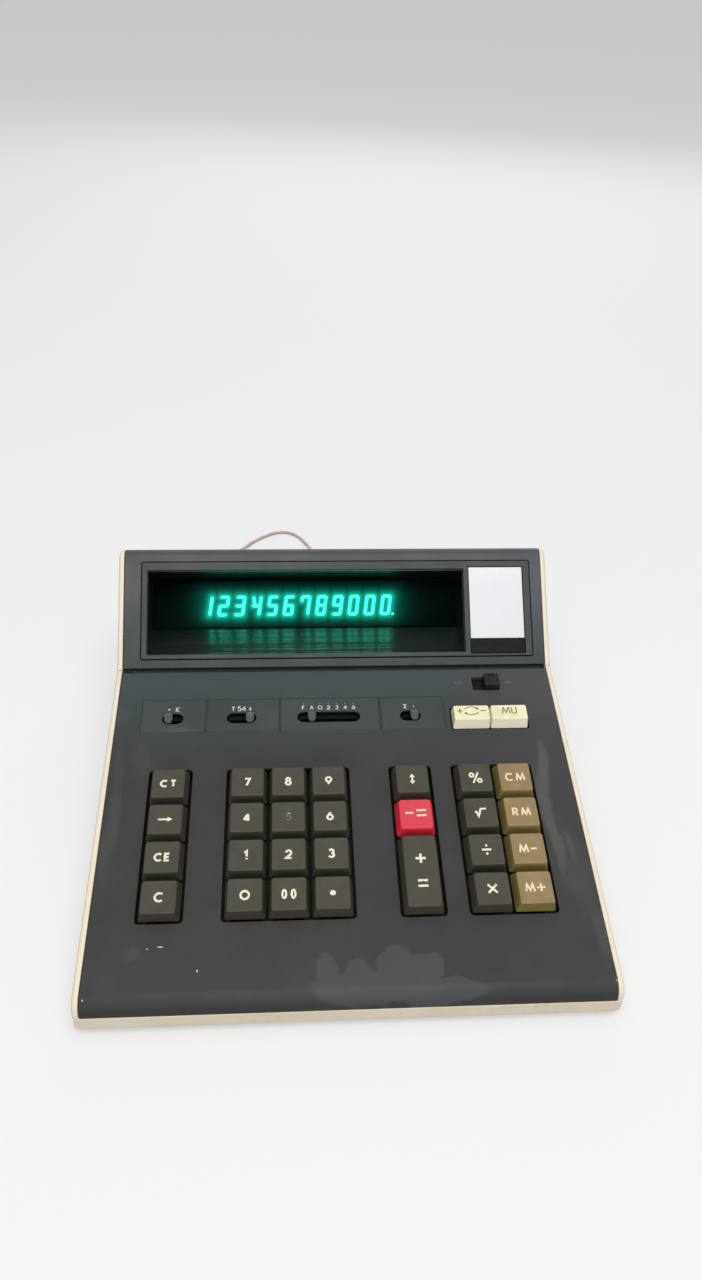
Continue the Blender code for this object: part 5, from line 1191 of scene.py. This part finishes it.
# %% Keycaps: the worn five, the tall key and the pale keys
SIGN_TALL, SIGN_STROKE = 5.6 * MM, 1.1 * MM
PALE_WIDE, PALE_LONG, PALE_RISE, PALE_Y = 18.8 * MM, 12 * MM, 5 * MM, -34 * MM
PALE_TAPERS = (0.5 * MM, 1.8 * MM, 1.8 * MM)
PALE_LEGEND_Y = 0.9 * MM

# the five is worn away: its top bar is faint and the rest only a shadow of ink
bm, top, middle = key_shape(KEY_BASE, KEY_BASE, KEY_RISE)
unit, width = 3.3 * MM, 0.85 * MM
left, low = middle[0] - 0.33 * unit, middle[1] - 0.5 * unit
bar = [(0.16, 1.0), (0.64, 1.0)]
rest = [(0.12, 0.9), (0.08, 0.56)] + bow(0.32, 0.31, 0.33, 0.31, 118, -150)
for points, share, material in ((bar, 1.0, 1), (rest, 0.9, 2)):
    at = [(left + x * unit, low + y * unit) for x, y in points]
    lay_ribbon(bm, at, width * share, top, KEY_PRINT, material)
add_cap(bm, "key_5", DIGITS_MIDDLE * MM, ROW_Y[1], ("dark_key", "faint_ink", "ghost_ink"))

# the key that is two pitches long, with its plus over its equals sign
bm, top, _ = key_shape(KEY_BASE, KEY_BASE + KEY_PITCH, KEY_RISE, dish=0.3 * MM)
for sign, y in (("+", 5.1), ("=", -6.9)):
    lay_words(bm, sign, (0, y * MM), SIGN_TALL, SIGN_STROKE, 0, top, 1)
add_cap(bm, "key_plus_equals", TOTALS * MM, (ROW_Y[2] + ROW_Y[3]) / 2, DARK)


def lay_sign_change(bm, top):
    """A plus and a minus, with an arrow from each to the other."""
    for sign, x, tall in (("+", -5.9, 3.6), ("-", 5.9, 4.0)):
        lay_words(bm, sign, (x * MM, PALE_LEGEND_Y), tall * MM, 0.5 * MM, 0, top, 1)
    shaft, head = bow(0, 0.5, 3.4, 1.9, 165, 30), [(3.6, 0.7), (2.1, 1.3), (3.4, 2.3)]
    for side in (1, -1):
        line, tip = (
            [(side * a * MM, PALE_LEGEND_Y + side * b * MM) for a, b in points]
            for points in (shaft, head)
        )
        lay_ribbon(bm, line, 0.45 * MM, top, KEY_PRINT, 1)
        lay_shape(bm, tip, top, KEY_PRINT, 1)


# two small pale keys: one turns the sign round, the other reads mark up
for name, x in (("key_sign_change", 66.5), ("key_mark_up", 85.7)):
    bm, top, _ = key_shape(
        PALE_WIDE, PALE_LONG, PALE_RISE, PALE_TAPERS, 0.5 * MM, 0.9 * MM, 0.1 * MM,
    )
    if name == "key_mark_up":
        lay_words(bm, "MU", (0, PALE_LEGEND_Y), 4.3 * MM, 0.5 * MM, 0.9 * MM, top, 1)
    else:
        lay_sign_change(bm, top)
    add_cap(bm, name, x * MM, PALE_Y, ("pale_key", "dark_ink"))

print("the worn five, the tall key and two pale keys")

# %% [markdown]
# Panel, hood, bezel, shadow box, plate and the cream cases are the machine's moulded shells.
# Modelling them again could only make them fit worse, so they keep the CAD's shape, and only
# their sharp edges are rounded. In the gap at the crease the cream inside would show as a pale
# line, and the shadow box's front would show a glint, so the faces in there are painted matt
# black as painted shade.

# %% Shells
SHELLS = {
    "keyboard_panel": ("panel", "charcoal_paint", 0.35),
    "hood_shell": ("hood", "charcoal_paint", 0.35),
    "display_bezel": ("bezel", "bezel_plastic", 0.25),
    "front_case": ("cream", "cream_casing", 0.3),
    "rear_case": ("cream", "cream_casing", 0.3),
    "lower_case": ("cream", "cream_casing", 0.4),
    "bright_plate": ("plate", "silver_plate", 0.15),
    "shadow_box": ("box", "gloss_black", 0.2),
}
CHEEK_INSIDE = 111.15 * MM
FACE_OUTWARD = FACE.to_3x3() @ Vector((0, 0, 1))
# faces in the crease gap, painted matt black as painted shade
PAINTED_SHADE_FACES = {
    "front_case": lambda face: abs(face.center.x) < CHEEK_INSIDE,
    "shadow_box": lambda face: face.normal.dot(FACE_OUTWARD) > 0.98,
}

for node, (look, slot, width) in SHELLS.items():
    made = softened(node, look, width * MM)
    if node in PAINTED_SHADE_FACES:
        repaint(made, "shade", PAINTED_SHADE_FACES[node])

print(f"{len(SHELLS)} shells with rounded edges")

# %% [markdown]
# Three thin pieces finish the front. The label strip round the slide switches lies in a shallow
# bed, a hair's breadth from it all round, so it is grown by a little once its edges are rounded.
# A bare black strip lies in the bed under the bright plate. Two dark pads between the hood and the
# panel fill the gap beside the shadow box with painted shade.

# %% Label, strip and felts
LABEL_SIDES = ((-98.6 * MM, 53.5 * MM), (-39.8 * MM, -19.8 * MM))
LABEL_GROW, LABEL_EDGE = 0.28 * MM, 0.06 * MM
STRIP_SIDES = (71.8 * MM, 100.7 * MM, 6.9 * MM, 14.6 * MM)
STRIP_PROFILE = ((0, -1.0), (0, -0.42), (0.12, -0.32), (0.4, -0.3))
SHADE_PAD_OUTER = 110.95 * MM
SHADE_PAD_SIDES = ((-SHADE_PAD_OUTER, -105.55 * MM), (107.95 * MM, SHADE_PAD_OUTER))
SHADE_PAD_FRONT, SHADE_PAD_BACK = -1.1 * MM, 5 * MM
SHADE_PAD_PROFILE = ((0.1, -2.85), (0, -2.95), (0, -3.6), (0.15, -3.75))

# the label strip, with its edges rounded and then moved out towards its bed
bm = rounded_copy("switch_label", LABEL_EDGE)
bm.transform(PANEL.inverted())
for vert in bm.verts:
    for axis, (low, high) in enumerate(LABEL_SIDES):
        if vert.co[axis] < low + MM:
            vert.co[axis] -= LABEL_GROW
        elif vert.co[axis] > high - MM:
            vert.co[axis] += LABEL_GROW
make_piece("switch_label_skin", bm, PANEL, ["label"], ["switch_label"])

# the bare black strip in the bed under the bright plate, with rounded edges
bm = bmesh.new()
stack(bm, inset_rings(STRIP_SIDES, 0.7 * MM, STRIP_PROFILE))
make_piece("bare_strip", bm, FACE, ["strip"])

# dark pads under the hood's lower corners, painted shade that closes the gap beside the shadow box
bm = bmesh.new()
for sides in SHADE_PAD_SIDES:
    stack(bm, inset_rings((*sides, SHADE_PAD_FRONT, SHADE_PAD_BACK), 0.5 * MM, SHADE_PAD_PROFILE))
make_piece("crease_shade_pads", bm, FACE, ["shade"])

print("the label, the strip and two felts")

# %% [markdown]
# A slide switch is a lever under a small smoked knob. The knob is square at the rear, round
# towards the user and hollow on top, and its narrow neck passes the slot, so it can't catch on
# the slot's round ends. A superellipse gives such an outline in one line, with one power for the
# rear half and another for the front. A bevelled box would need four edges picked by hand.

# %% Slide knobs
# middle of the slot, how many positions it has, and the one where the knob rests
SLIDERS = {
    "constant_slider": (-83.1, 2, 0), "rounding_slider": (-48.95, 3, 2),
    "decimal_slider": (-5.2, 7, 1), "total_slider": (36.15, 2, 1),
}
SLOT_Y, DETENT = -31.5 * MM, 4.25 * MM
STEM_TOP, STEM_FOOT, STEM_HALF = -2.3 * MM, -9.5 * MM, 1.2 * MM
KNOB_HALF_X, KNOB_HALF_Y = 2.15 * MM, 3.0 * MM
KNOB_POINTS = 28
REAR_POWER, FRONT_POWER = 0.45, 0.85
# inset and height in mm: the neck, then the cap and its hollow
KNOB_PROFILE = (
    (0.5, -2.5), (0.5, -0.32), (0.06, -0.3), (0.0, -0.2), (0.0, 0.35), (0.12, 0.65),
    (0.35, 0.8), (0.8, 0.72), (1.5, 0.45),
)


def detents(slider):
    """Where a slider's positions lie across the panel."""
    x, positions, _ = SLIDERS[slider]
    first = x * MM - (positions - 1) * DETENT / 2
    return [first + i * DETENT for i in range(positions)]


def knob_outline(inset, z):
    points = []
    for i in range(KNOB_POINTS):
        a = 2 * math.pi * i / KNOB_POINTS
        c, d = math.cos(a), math.sin(a)
        power = REAR_POWER if d > 0 else FRONT_POWER
        x = (KNOB_HALF_X - inset) * math.copysign(abs(c) ** power, c)
        y = (KNOB_HALF_Y - inset) * math.copysign(abs(d) ** power, d)
        points.append(Vector((x, y, z)))
    return points


# each knob with the stem that reaches down into the switch bank
for name, (_, _, rest) in SLIDERS.items():
    bm = bmesh.new()
    stack(bm, [knob_outline(inset * MM, z * MM) for inset, z in KNOB_PROFILE])
    stack(bm, [
        centred_ring(STEM_HALF, STEM_HALF, STEM_CORNER, z, 2, 0) for z in (STEM_TOP, STEM_FOOT)
    ])
    place = on_panel(detents(name)[rest], SLOT_Y)
    make_piece(name + "_knob", bm, place, ["knob"], [name], name)

print(f"{len(SLIDERS)} knobs")

# %% [markdown]
# The power switch is a larger black knob with a hollow for the fingertip and ribs that grip it.
# It slides in a slot longer than itself, so it carries a flat apron under the panel, which
# closes the slot wherever the knob stands. The apron and the knob's neck are painted near black,
# as painted shade in the slot. Hollow and ribs are one height rule over the top: a parabola with
# a cosine on it.

# %% Power knob
POWER_X, POWER_Y = 80.05 * MM, -11.8 * MM
POWER_HALF_X, POWER_HALF_Y, POWER_RISE = 3.95 * MM, 3.85 * MM, 4.2 * MM
POWER_CORNER, TOP_CORNER, TOP_INSET = 0.9 * MM, 0.8 * MM, 0.35 * MM
HOLLOW_DEEP, HOLLOW_REACH = 0.95 * MM, 0.8
RIB_TALL, RIB_COUNT, RIB_REACH = 0.14 * MM, 5, 0.75
POWER_TOP_RINGS = 12
ROUND_TURN = 50
# inset and height in mm
POWER_PROFILE = ((0, -2.5), (0, 3.3), (0.08, 3.6), (0.3, 3.8))
APRON_HALF_X, APRON_HALF_Y, APRON_CORNER = 9.9 * MM, 4.7 * MM, 0.5 * MM
APRON_TOP, APRON_FOOT = -2.75 * MM, -3.25 * MM


def power_height(x, y):
    """The height of the knob's top: a hollow across it, with ribs in it."""
    share = x / POWER_HALF_X
    rib = RIB_TALL * math.cos(share * RIB_COUNT * math.pi) if abs(share) < RIB_REACH else 0
    hollow = HOLLOW_DEEP * max(0.0, 1 - (share / HOLLOW_REACH) ** 2)
    return POWER_RISE - TOP_INSET - hollow + rib


def power_ring(half_x, half_y, corner, z):
    return centred_ring(half_x, half_y, corner, z, 3, 20)


# the knob, then its neck, the apron that closes its slot, and the stem
sides = [
    power_ring(POWER_HALF_X - inset * MM, POWER_HALF_Y - inset * MM, POWER_CORNER, z * MM)
    for inset, z in POWER_PROFILE
]
top = [
    power_ring(
        (POWER_HALF_X - TOP_INSET) * t, (POWER_HALF_Y - TOP_INSET) * t, TOP_CORNER * t,
        power_height,
    )
    for t in (1 - i / POWER_TOP_RINGS for i in range(1, POWER_TOP_RINGS))
]
bm = bmesh.new()
knob = stack(bm, sides + top, caps=(-1,))
neck, apron_top, apron_foot, stem_top, stem_foot = (
    [bm.verts.new(p) for p in power_ring(*sizes)] for sizes in (
        (POWER_HALF_X, POWER_HALF_Y, POWER_CORNER, APRON_TOP),
        (APRON_HALF_X, APRON_HALF_Y, APRON_CORNER, APRON_TOP),
        (APRON_HALF_X, APRON_HALF_Y, APRON_CORNER, APRON_FOOT),
        (STEM_HALF, STEM_HALF, STEM_CORNER, APRON_FOOT),
        (STEM_HALF, STEM_HALF, STEM_CORNER, STEM_FOOT),
    )
)
# the neck and the apron are painted near black: painted shade in the slot
for one, two in ((knob[0], neck), (neck, apron_top), (apron_top, apron_foot)):
    bridge(bm, one, two, 1)
bridge(bm, apron_foot, stem_top)
bridge(bm, stem_top, stem_foot)
bm.faces.new(stem_foot)
make_piece(
    "power_knob", bm, on_panel(POWER_X, POWER_Y), ["black", "slot_shade"],
    ["power_slider"], "power_slider", ROUND_TURN,
)

print(f"the power knob with {RIB_COUNT} ribs")

# %% [markdown]
# Small marks stand over the slots, one over each position: numbers, letters, arrows and dots in
# worn white ink. They are printed on the label, so they lie on its level, a little below the
# panel's. OFF and ON beside the power switch are nearly rubbed away.

# %% Marks
MARK_STROKE, MARK_GAP = 0.38 * MM, 0.35 * MM
MARK_ROW, DOT_ROW = -25.7 * MM, -23.3 * MM
DOT_TALL = 0.9 * MM
LABEL_LEVEL = -0.4 * MM
# OFF and ON: how tall they are, their stroke and the gap between letters
SWITCH_WORDS = (1.9 * MM, 0.3 * MM, 0.6 * MM)
SWITCH_WORDS_Y = -11.3 * MM
# slider: what stands over each position, and how tall it is
MARKS = {
    "constant_slider": ((".", 2.0), ("K", 3.0)),
    "rounding_slider": (("u", 3.1), ("54", 3.1), ("d", 2.5)),
    "decimal_slider": tuple((word, 2.5) for word in "FA02346"),
    "total_slider": (("S", 2.5), (".", 1.5)),
}
WITHOUT_DOT = "A"


def label_level(x, y):
    return LABEL_LEVEL


def panel_level(x, y):
    return 0.0


def mark(bm, words, x, y, tall):
    """A number, a sign or a dot in worn white on the label."""
    lay_words(bm, words, (x, y), tall, MARK_STROKE, MARK_GAP, label_level, 0, PANEL_PRINT)


bm = bmesh.new()
for slider, marks in MARKS.items():
    for x, (words, tall) in zip(detents(slider), marks):
        mark(bm, words, x, MARK_ROW, tall * MM)
        if slider == "decimal_slider" and words != WITHOUT_DOT:
            mark(bm, ".", x, DOT_ROW, DOT_TALL)
make_piece("slot_marks", bm, PANEL, ["white_ink"])

bm = bmesh.new()
for words, x in (("OFF", 63.3), ("ON", 89.2)):
    at = (x * MM, SWITCH_WORDS_Y)
    lay_words(bm, words, at, *SWITCH_WORDS, panel_level, 0, PANEL_PRINT)
make_piece("power_words", bm, PANEL, ["worn_ink"])

print(f"marks over {len(MARKS)} slots")

# %% [markdown]
# The display is one flat glass tube with twelve slanted digits. In the real tube each segment is
# a phosphor pad that glows when it is struck. Here each lit segment is one flat six-sided face
# with pointed ends, in a finish that gives light. The dark segments can't be seen behind the
# smoked filter, so they aren't made. The point after the last digit is a small round face.

# %% Display: the lit digits
DIGIT_TALL, DIGIT_WIDE, DIGIT_PITCH = 11.5 * MM, 4.1 * MM, 9.0 * MM
DIGIT_STROKE = 1.6 * MM
FIRST_DIGIT_X, DIGIT_LOW = -69.9 * MM, 32.4 * MM
DIGIT_DEPTH = -25.32 * MM
DIGIT_LEAN = math.tan(math.radians(8))
SEGMENT_GAP = 0.16
TIP_SHARE, SHOULDER_SHARE = 0.5, 0.3
POINT_X, POINT_HALF, POINT_CORNER = 3.9 * MM, 0.65 * MM, 0.5 * MM
SHOWN = "123456789000"
# segments from (x, y) to (x, y) in halves of the digit's width and quarters of its height
SEGMENTS = {
    "a": ((0, 4), (2, 4)), "b": ((2, 4), (2, 2)), "c": ((2, 2), (2, 0)), "d": ((2, 0), (0, 0)),
    "e": ((0, 0), (0, 2)), "f": ((0, 2), (0, 4)), "g": ((0, 2), (2, 2)), "h": ((0, 4), (0.6, 2)),
    "i": ((0, 4), (0, 3)),
}
LIT = {
    "0": "abcdef", "1": "bc", "2": "abged", "3": "abgcd", "4": "hgbc", "5": "afgcd",
    "6": "afgcde", "7": "aibc", "8": "abcdefg", "9": "abcdfg",
}
LAST_DIGIT_X = FIRST_DIGIT_X + (len(SHOWN) - 1) * DIGIT_PITCH


def digit_lines():
    """Every lit segment as two points on the hood face's own axes."""
    lines = []
    tall = DIGIT_TALL - DIGIT_STROKE
    for i, digit in enumerate(SHOWN):
        for name in LIT[digit]:
            ends = []
            for sx, sy in SEGMENTS[name]:
                u = DIGIT_LOW + DIGIT_STROKE / 2 + sy / 4 * tall
                x = FIRST_DIGIT_X + i * DIGIT_PITCH + (sx / 2 - 0.5) * DIGIT_WIDE
                ends.append(Vector((x + (u - DIGIT_LOW - tall / 2) * DIGIT_LEAN, u)))
            one, two = ends
            along = (two - one).normalized() * SEGMENT_GAP * MM
            lines.append((one + along, two - along))
    return lines


bm = bmesh.new()
for one, two in digit_lines():
    along = (two - one).normalized() * DIGIT_STROKE / 2
    across = Vector((-along.y, along.x))
    tip, shoulder = along * TIP_SHARE, along * SHOULDER_SHARE
    outline = (
        one - tip, one + across + shoulder, two + across - shoulder,
        two + tip, two - across - shoulder, one - across + shoulder,
    )
    bm.faces.new([bm.verts.new((p.x, p.y, DIGIT_DEPTH)) for p in outline])
x = LAST_DIGIT_X + POINT_X
point = rounded_ring(
    x - POINT_HALF, x + POINT_HALF, DIGIT_LOW, DIGIT_LOW + 2 * POINT_HALF, POINT_CORNER,
    DIGIT_DEPTH, 3, 0,
)
bm.faces.new([bm.verts.new(p) for p in point])
make_piece("lit_segments", bm, FACE, ["lit"])

print(f"{len(SHOWN)} digits, {len(digit_lines())} lit segments")

# %% [markdown]
# Light scatters in the glass, so a soft halo hangs about the digits. A compositor's glare would
# do it in the picture only. Here it is a fine sheet just behind the digits whose points carry
# how near they are to a lit segment, and the finish glows by that number. A close halo falls off
# round each segment, and a faint wide one fills the window.

# %% Display: the halo
FILTER_LOW, FILTER_HIGH = 25 * MM, 53.7 * MM
HALO_STEP, HALO_MARGIN, HALO_BEHIND = 0.6 * MM, 1.2 * MM, 0.06 * MM
CLOSE_REACH, CLOSE_SHARE = 1.5 * MM, 1.15
WIDE_REACH_X, WIDE_REACH_U, WIDE_SHARE = 7 * MM, 6.5 * MM, 0.055
WIDE_LOW, WIDE_HIGH = FIRST_DIGIT_X - 2 * MM, LAST_DIGIT_X + 6 * MM
WIDE_HALF = DIGIT_TALL / 2 - 2 * MM


def halo_values(grid_x, grid_u):
    """How strongly each point of the sheet glows, from 0 to 1."""
    close = np.zeros_like(grid_x)
    for one, two in digit_lines():
        a, d = np.array(one), np.array(two - one)
        t = ((grid_x - a[0]) * d[0] + (grid_u - a[1]) * d[1]) / (d @ d)
        t = np.clip(t, 0, 1)
        distance = np.hypot(grid_x - a[0] - t * d[0], grid_u - a[1] - t * d[1])
        close = np.maximum(close, np.exp(-distance / CLOSE_REACH))
    out_x = np.maximum(0, np.maximum(WIDE_LOW - grid_x, grid_x - WIDE_HIGH))
    out_u = np.maximum(0, np.abs(grid_u - DIGIT_LOW - DIGIT_TALL / 2) - WIDE_HALF)
    wide = np.exp(-(out_x / WIDE_REACH_X) ** 1.5 - (out_u / WIDE_REACH_U) ** 2)
    return np.clip(CLOSE_SHARE * close + WIDE_SHARE * wide, 0, 1)


low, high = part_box("display_filter")
xs = np.arange(low.x + HALO_MARGIN, high.x - HALO_MARGIN, HALO_STEP)
us = np.arange(FILTER_LOW + HALO_MARGIN, FILTER_HIGH - HALO_MARGIN, HALO_STEP)
values = halo_values(*np.meshgrid(xs, us))
bm = bmesh.new()
layer = bm.verts.layers.float.new("glow")
rows = []
for u, row_values in zip(us, values):
    row = []
    for x, value in zip(xs, row_values):
        vert = bm.verts.new((x, u, DIGIT_DEPTH - HALO_BEHIND))
        vert[layer] = value
        row.append(vert)
    rows.append(row)
for one, two in zip(rows, rows[1:]):
    for j in range(len(xs) - 1):
        bm.faces.new((one[j], one[j + 1], two[j + 1], two[j]))
make_piece("tube_glow", bm, FACE, ["halo"])
print(f"a halo of {len(us)} rows of {len(xs)} points")

# %% [markdown]
# Screws, ribs and rows of small parts repeat one shape, so Geometry Nodes make them: a tree
# builds the shape once, puts a copy on each point of a grid or a line, and makes them real.
# Copying objects in a loop would work too, but a tree keeps its sizes as named inputs, and one
# tree serves every place that needs the shape.

# %% Geometry Nodes: the builder
class Tree(Graph):
    """A Geometry Nodes tree whose sizes are named inputs in metres."""

    def __init__(self, name, sizes, counts):
        super().__init__(bpy.data.node_groups.new(name, "GeometryNodeTree"))
        face = self.tree.interface
        face.new_socket("Geometry", in_out="OUTPUT", socket_type="NodeSocketGeometry")
        self.names = {}
        for table, kind in ((sizes, "NodeSocketFloat"), (counts, "NodeSocketInt")):
            for label, value in table.items():
                socket = face.new_socket(label, in_out="INPUT", socket_type=kind)
                socket.default_value = value
                self.names[label] = (socket.identifier, value)
        self.inputs = self.tree.nodes.new("NodeGroupInput")
        self.out = self.tree.nodes.new("NodeGroupOutput")

    def shape(self, kind, links=None, **settings):
        return self.node(kind, links, "GeometryNode", **settings)

    def vector(self, x=0.0, y=0.0, z=0.0):
        return self.node("CombineXYZ", {0: x, 1: y, 2: z})

    def grid(self):
        """The corners of a grid, from the inputs Across, Along, Columns and Rows."""
        return self.shape("MeshGrid", {
            "Size X": "Across", "Size Y": "Along", "Vertices X": "Columns", "Vertices Y": "Rows",
        }).outputs["Mesh"]

    def finish(self, shape, points, look, scale=None):
        """Copies of the shape on the points, made real, in one finish."""
        links = {"Points": points, "Instance": shape}
        if scale is not None:
            links["Scale"] = scale
        copies = self.shape("InstanceOnPoints", links)
        real = self.shape("RealizeInstances", {0: copies})
        self.give(self.out.inputs[0], self.shape("SetMaterial", {0: real, "Material": LOOK[look]}))


def grow(name, tree, place, sharp=40):
    """Runs a tree on an empty mesh and keeps what it makes as a plain riding mesh."""
    made = bpy.data.objects.new(name, bpy.data.meshes.new(name))
    bpy.context.scene.collection.objects.link(made)
    grower = made.modifiers.new("grow", "NODES")
    grower.node_group = tree.tree
    for identifier, value in tree.names.values():
        grower[identifier] = value
    graph = bpy.context.evaluated_depsgraph_get()
    mesh = bpy.data.meshes.new_from_object(made.evaluated_get(graph), depsgraph=graph)
    made.modifiers.clear()
    made.data = mesh
    mesh.name = name
    mesh.transform(place)
    mesh.shade_smooth()
    mesh.set_sharp_from_angle(angle=math.radians(sharp))
    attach(made, "case")
    print(f"{name}: {len(mesh.polygons)} faces")
    return made


print("the tree builder is ready")

# %% [markdown]
# Cross-head screws hold the tray from below, sunk in four round recesses, and one more holds the
# plug's halves together. A head is a flat cone, and two crossed bars are cut out of it.

# %% Screws
HEAD_SIZES = {
    "Radius": 2.9 * MM, "Height": 0.95 * MM, "Slot width": 0.7 * MM, "Slot depth": 1.1 * MM,
}
HEAD_TAPER, SLOT_REACH = 0.78, 1.15
SCREW_CREASE = 25
SCREW_ACROSS, SCREW_ALONG = 188 * MM, 155.878 * MM
RECESS_TOP = 4.7 * MM
PLUG_TAIL, PLUG_BODY, PLUG_THICK = 16 * MM, 30 * MM, 13.6 * MM


def screw_tree(across, along, columns, rows):
    tree = Tree(
        "cross_head_screws", {**HEAD_SIZES, "Across": across, "Along": along},
        {"Columns": columns, "Rows": rows},
    )
    head = tree.shape("MeshCone", {
        "Vertices": 32, "Side Segments": 2, "Fill Segments": 2,
        "Radius Top": tree.times("Radius", HEAD_TAPER), "Radius Bottom": "Radius",
        "Depth": "Height",
    })
    cut = tree.shape("MeshBoolean", {"Mesh 1": head}, operation="DIFFERENCE")
    long = tree.times("Radius", SLOT_REACH)
    for size in ((long, "Slot width"), ("Slot width", long)):
        bar = tree.shape("MeshCube", {"Size": tree.vector(*size, "Slot depth")})
        bar = tree.shape("Transform", {0: bar, "Translation": tree.vector(z="Height")})
        tree.give(cut.inputs["Mesh 2"], bar)
    tree.finish(cut.outputs["Mesh"], tree.grid(), "screw")
    return tree


upside_down = Matrix.Translation((0, 0, RECESS_TOP)) @ Matrix.Rotation(math.pi, 4, "X")
on_plug = Matrix.Translation(PLUG_START + Vector((PLUG_TAIL + PLUG_BODY / 2, 0, PLUG_THICK / 2)))
tray_tree = screw_tree(SCREW_ACROSS, SCREW_ALONG, 2, 2)
grow("tray_screws", tray_tree, upside_down, SCREW_CREASE)
plug_screw = grow(
    "plug_screw", screw_tree(0, 0, 1, 1), on_plug, SCREW_CREASE,
)

# %% [markdown]
# The strain relief is a soft tapered sleeve with ribs round it, so that the lead bends over its
# whole length instead of at the wall. The plug's tail is ribbed the same way. The sleeve is a
# stack of circles, as if turned on a lathe. The ribs are rings on a line of points, and each is
# scaled a little smaller or larger than the one before, which needs no more than a few nodes.

# %% Strain relief and ribs
RELIEF_X, RELIEF_Z = -80 * MM, 20 * MM
WALL_Y = 127.939 * MM
SLEEVE_POINTS = 32
# radius and distance from the wall in mm: a lock inside it, a flange outside, and a tail
SLEEVE_PROFILE = (
    (1.9, -4.7), (3.8, -3.6), (3.8, 0.3), (5.2, 0.3), (5.5, 0.6), (5.5, 1.6), (5.2, 2.05),
    (3.4, 2.15), (3.1, 2.6), (2.9, 6.0), (2.5, 12.0), (2.1, 18.0), (1.9, 21.4), (1.7, 21.95),
    (1.3, 22.0),
)


def rib_tree(count, length, radius, taper, thick):
    tree = Tree("ribs", {
        "Length": length, "Radius": radius, "Taper": taper, "Thickness": thick,
    }, {"Count": count})
    around, section = (
        tree.shape("CurvePrimitiveCircle", {"Resolution": steps, "Radius": size}, mode="RADIUS")
        for steps, size in ((28, "Radius"), (8, "Thickness"))
    )
    ring = tree.shape("CurveToMesh", {"Curve": around, "Profile Curve": section})
    line = tree.shape("MeshLine", {
        "Count": "Count", "Offset": tree.vector(z="Length"),
    }, mode="END_POINTS")
    index = tree.shape("InputIndex")
    share = tree.math("DIVIDE", index, tree.math("SUBTRACT", "Count", 1.0))
    scale = tree.math("SUBTRACT", 1.0, tree.times(share, "Taper"))
    tree.finish(ring, line, "lead", tree.vector(scale, scale, scale))
    return tree


def sleeve_circle(radius, along):
    turns = [2 * math.pi * i / SLEEVE_POINTS for i in range(SLEEVE_POINTS)]
    return [
        (RELIEF_X + radius * math.cos(a), WALL_Y + along, RELIEF_Z + radius * math.sin(a))
        for a in turns
    ]


bm = bmesh.new()
stack(bm, [sleeve_circle(radius * MM, along * MM) for radius, along in SLEEVE_PROFILE])
make_piece(
    "relief_sleeve", bm, HERE, ["lead"], ["lead_relief"], sharp=ROUND_TURN,
)

along_y = Matrix.Translation((RELIEF_X, WALL_Y + 5.5 * MM, RELIEF_Z))
along_y @= Matrix.Rotation(-math.pi / 2, 4, "X")
along_x = Matrix.Translation(PLUG_START + Vector((3 * MM, 0, 0)))
along_x @= Matrix.Rotation(math.pi / 2, 4, "Y")
grow("relief_ribs", rib_tree(8, 14.5 * MM, 2.95 * MM, 0.3, 0.42 * MM), along_y)
plug_ribs = grow("plug_ribs", rib_tree(6, 11 * MM, 2.15 * MM, -0.5, 0.4 * MM), along_x)

# %% [markdown]
# The plug keeps its CAD shape with softened edges, and its pins turn to brass. The coil's strap
# is softened too. Both are separate pieces that hang on the lead.

# %% Plug and strap
PIN_GAP = 0.2 * MM
PLUG_END = PLUG_START.x + PLUG_TAIL + PLUG_BODY

plug = softened("mains_plug", "lead", 0.35 * MM, sharp=40)
repaint(plug, "brass", lambda face: face.center.x > PLUG_END + PIN_GAP)
strap = softened("coil_tie", "black", 0.2 * MM, sharp=40)
print("the lead carries a plug, its screw and ribs, and a strap")

# %% [markdown]
# The logic board can be seen only through the cooling slots, but a see-through cut of the machine
# would show it bare. Its chips and its capacitor come with the CAD board and only need their own
# colours. Rows of resistors stand between the chips: each is a cylinder on a wire, laid flat.

# %% Small parts on the board
BOARD_TOP, CHIP_LOW = 15.6 * MM, 15.9 * MM
CAN_FRONT = 80 * MM
RESISTOR_SIZES = {
    "Radius": 1.1 * MM, "Length": 6.5 * MM, "Lead radius": 0.3 * MM, "Lead length": 9.6 * MM,
}
RESISTOR_PLACE = (-25 * MM, 8 * MM, BOARD_TOP + 1.15 * MM)


def resistor_tree(columns, rows, across, along):
    tree = Tree(
        "resistors", {**RESISTOR_SIZES, "Across": across, "Along": along},
        {"Columns": columns, "Rows": rows},
    )
    body = tree.shape("MeshCylinder", {
        "Vertices": 14, "Side Segments": 3, "Radius": "Radius", "Depth": "Length",
    })
    wire = tree.shape("MeshCylinder", {
        "Vertices": 6, "Radius": "Lead radius", "Depth": "Lead length",
    })
    both = tree.shape("JoinGeometry")
    for part in (body, wire):
        tree.give(both.inputs[0], part)
    flat = tree.shape("Transform", {0: both, "Rotation": (0, math.pi / 2, 0)})
    tree.finish(flat, tree.grid(), "clay")
    return tree


# green, with its chips in black and the capacitor at its rear in a blue sleeve
made = softened("logic_board", "board", 0.12 * MM)
repaint(made, "black", lambda face: face.center.z > CHIP_LOW)
repaint(made, "sleeve", lambda face: face.center.z > CHIP_LOW and face.center.y > CAN_FRONT)

on_board = Matrix.Translation(RESISTOR_PLACE)
grow("board_resistors", resistor_tree(9, 4, 104 * MM, 16 * MM), on_board)

# %% [markdown]
# Last, the view layer is brought up to date.

# %% Finish
bpy.context.view_layer.update()
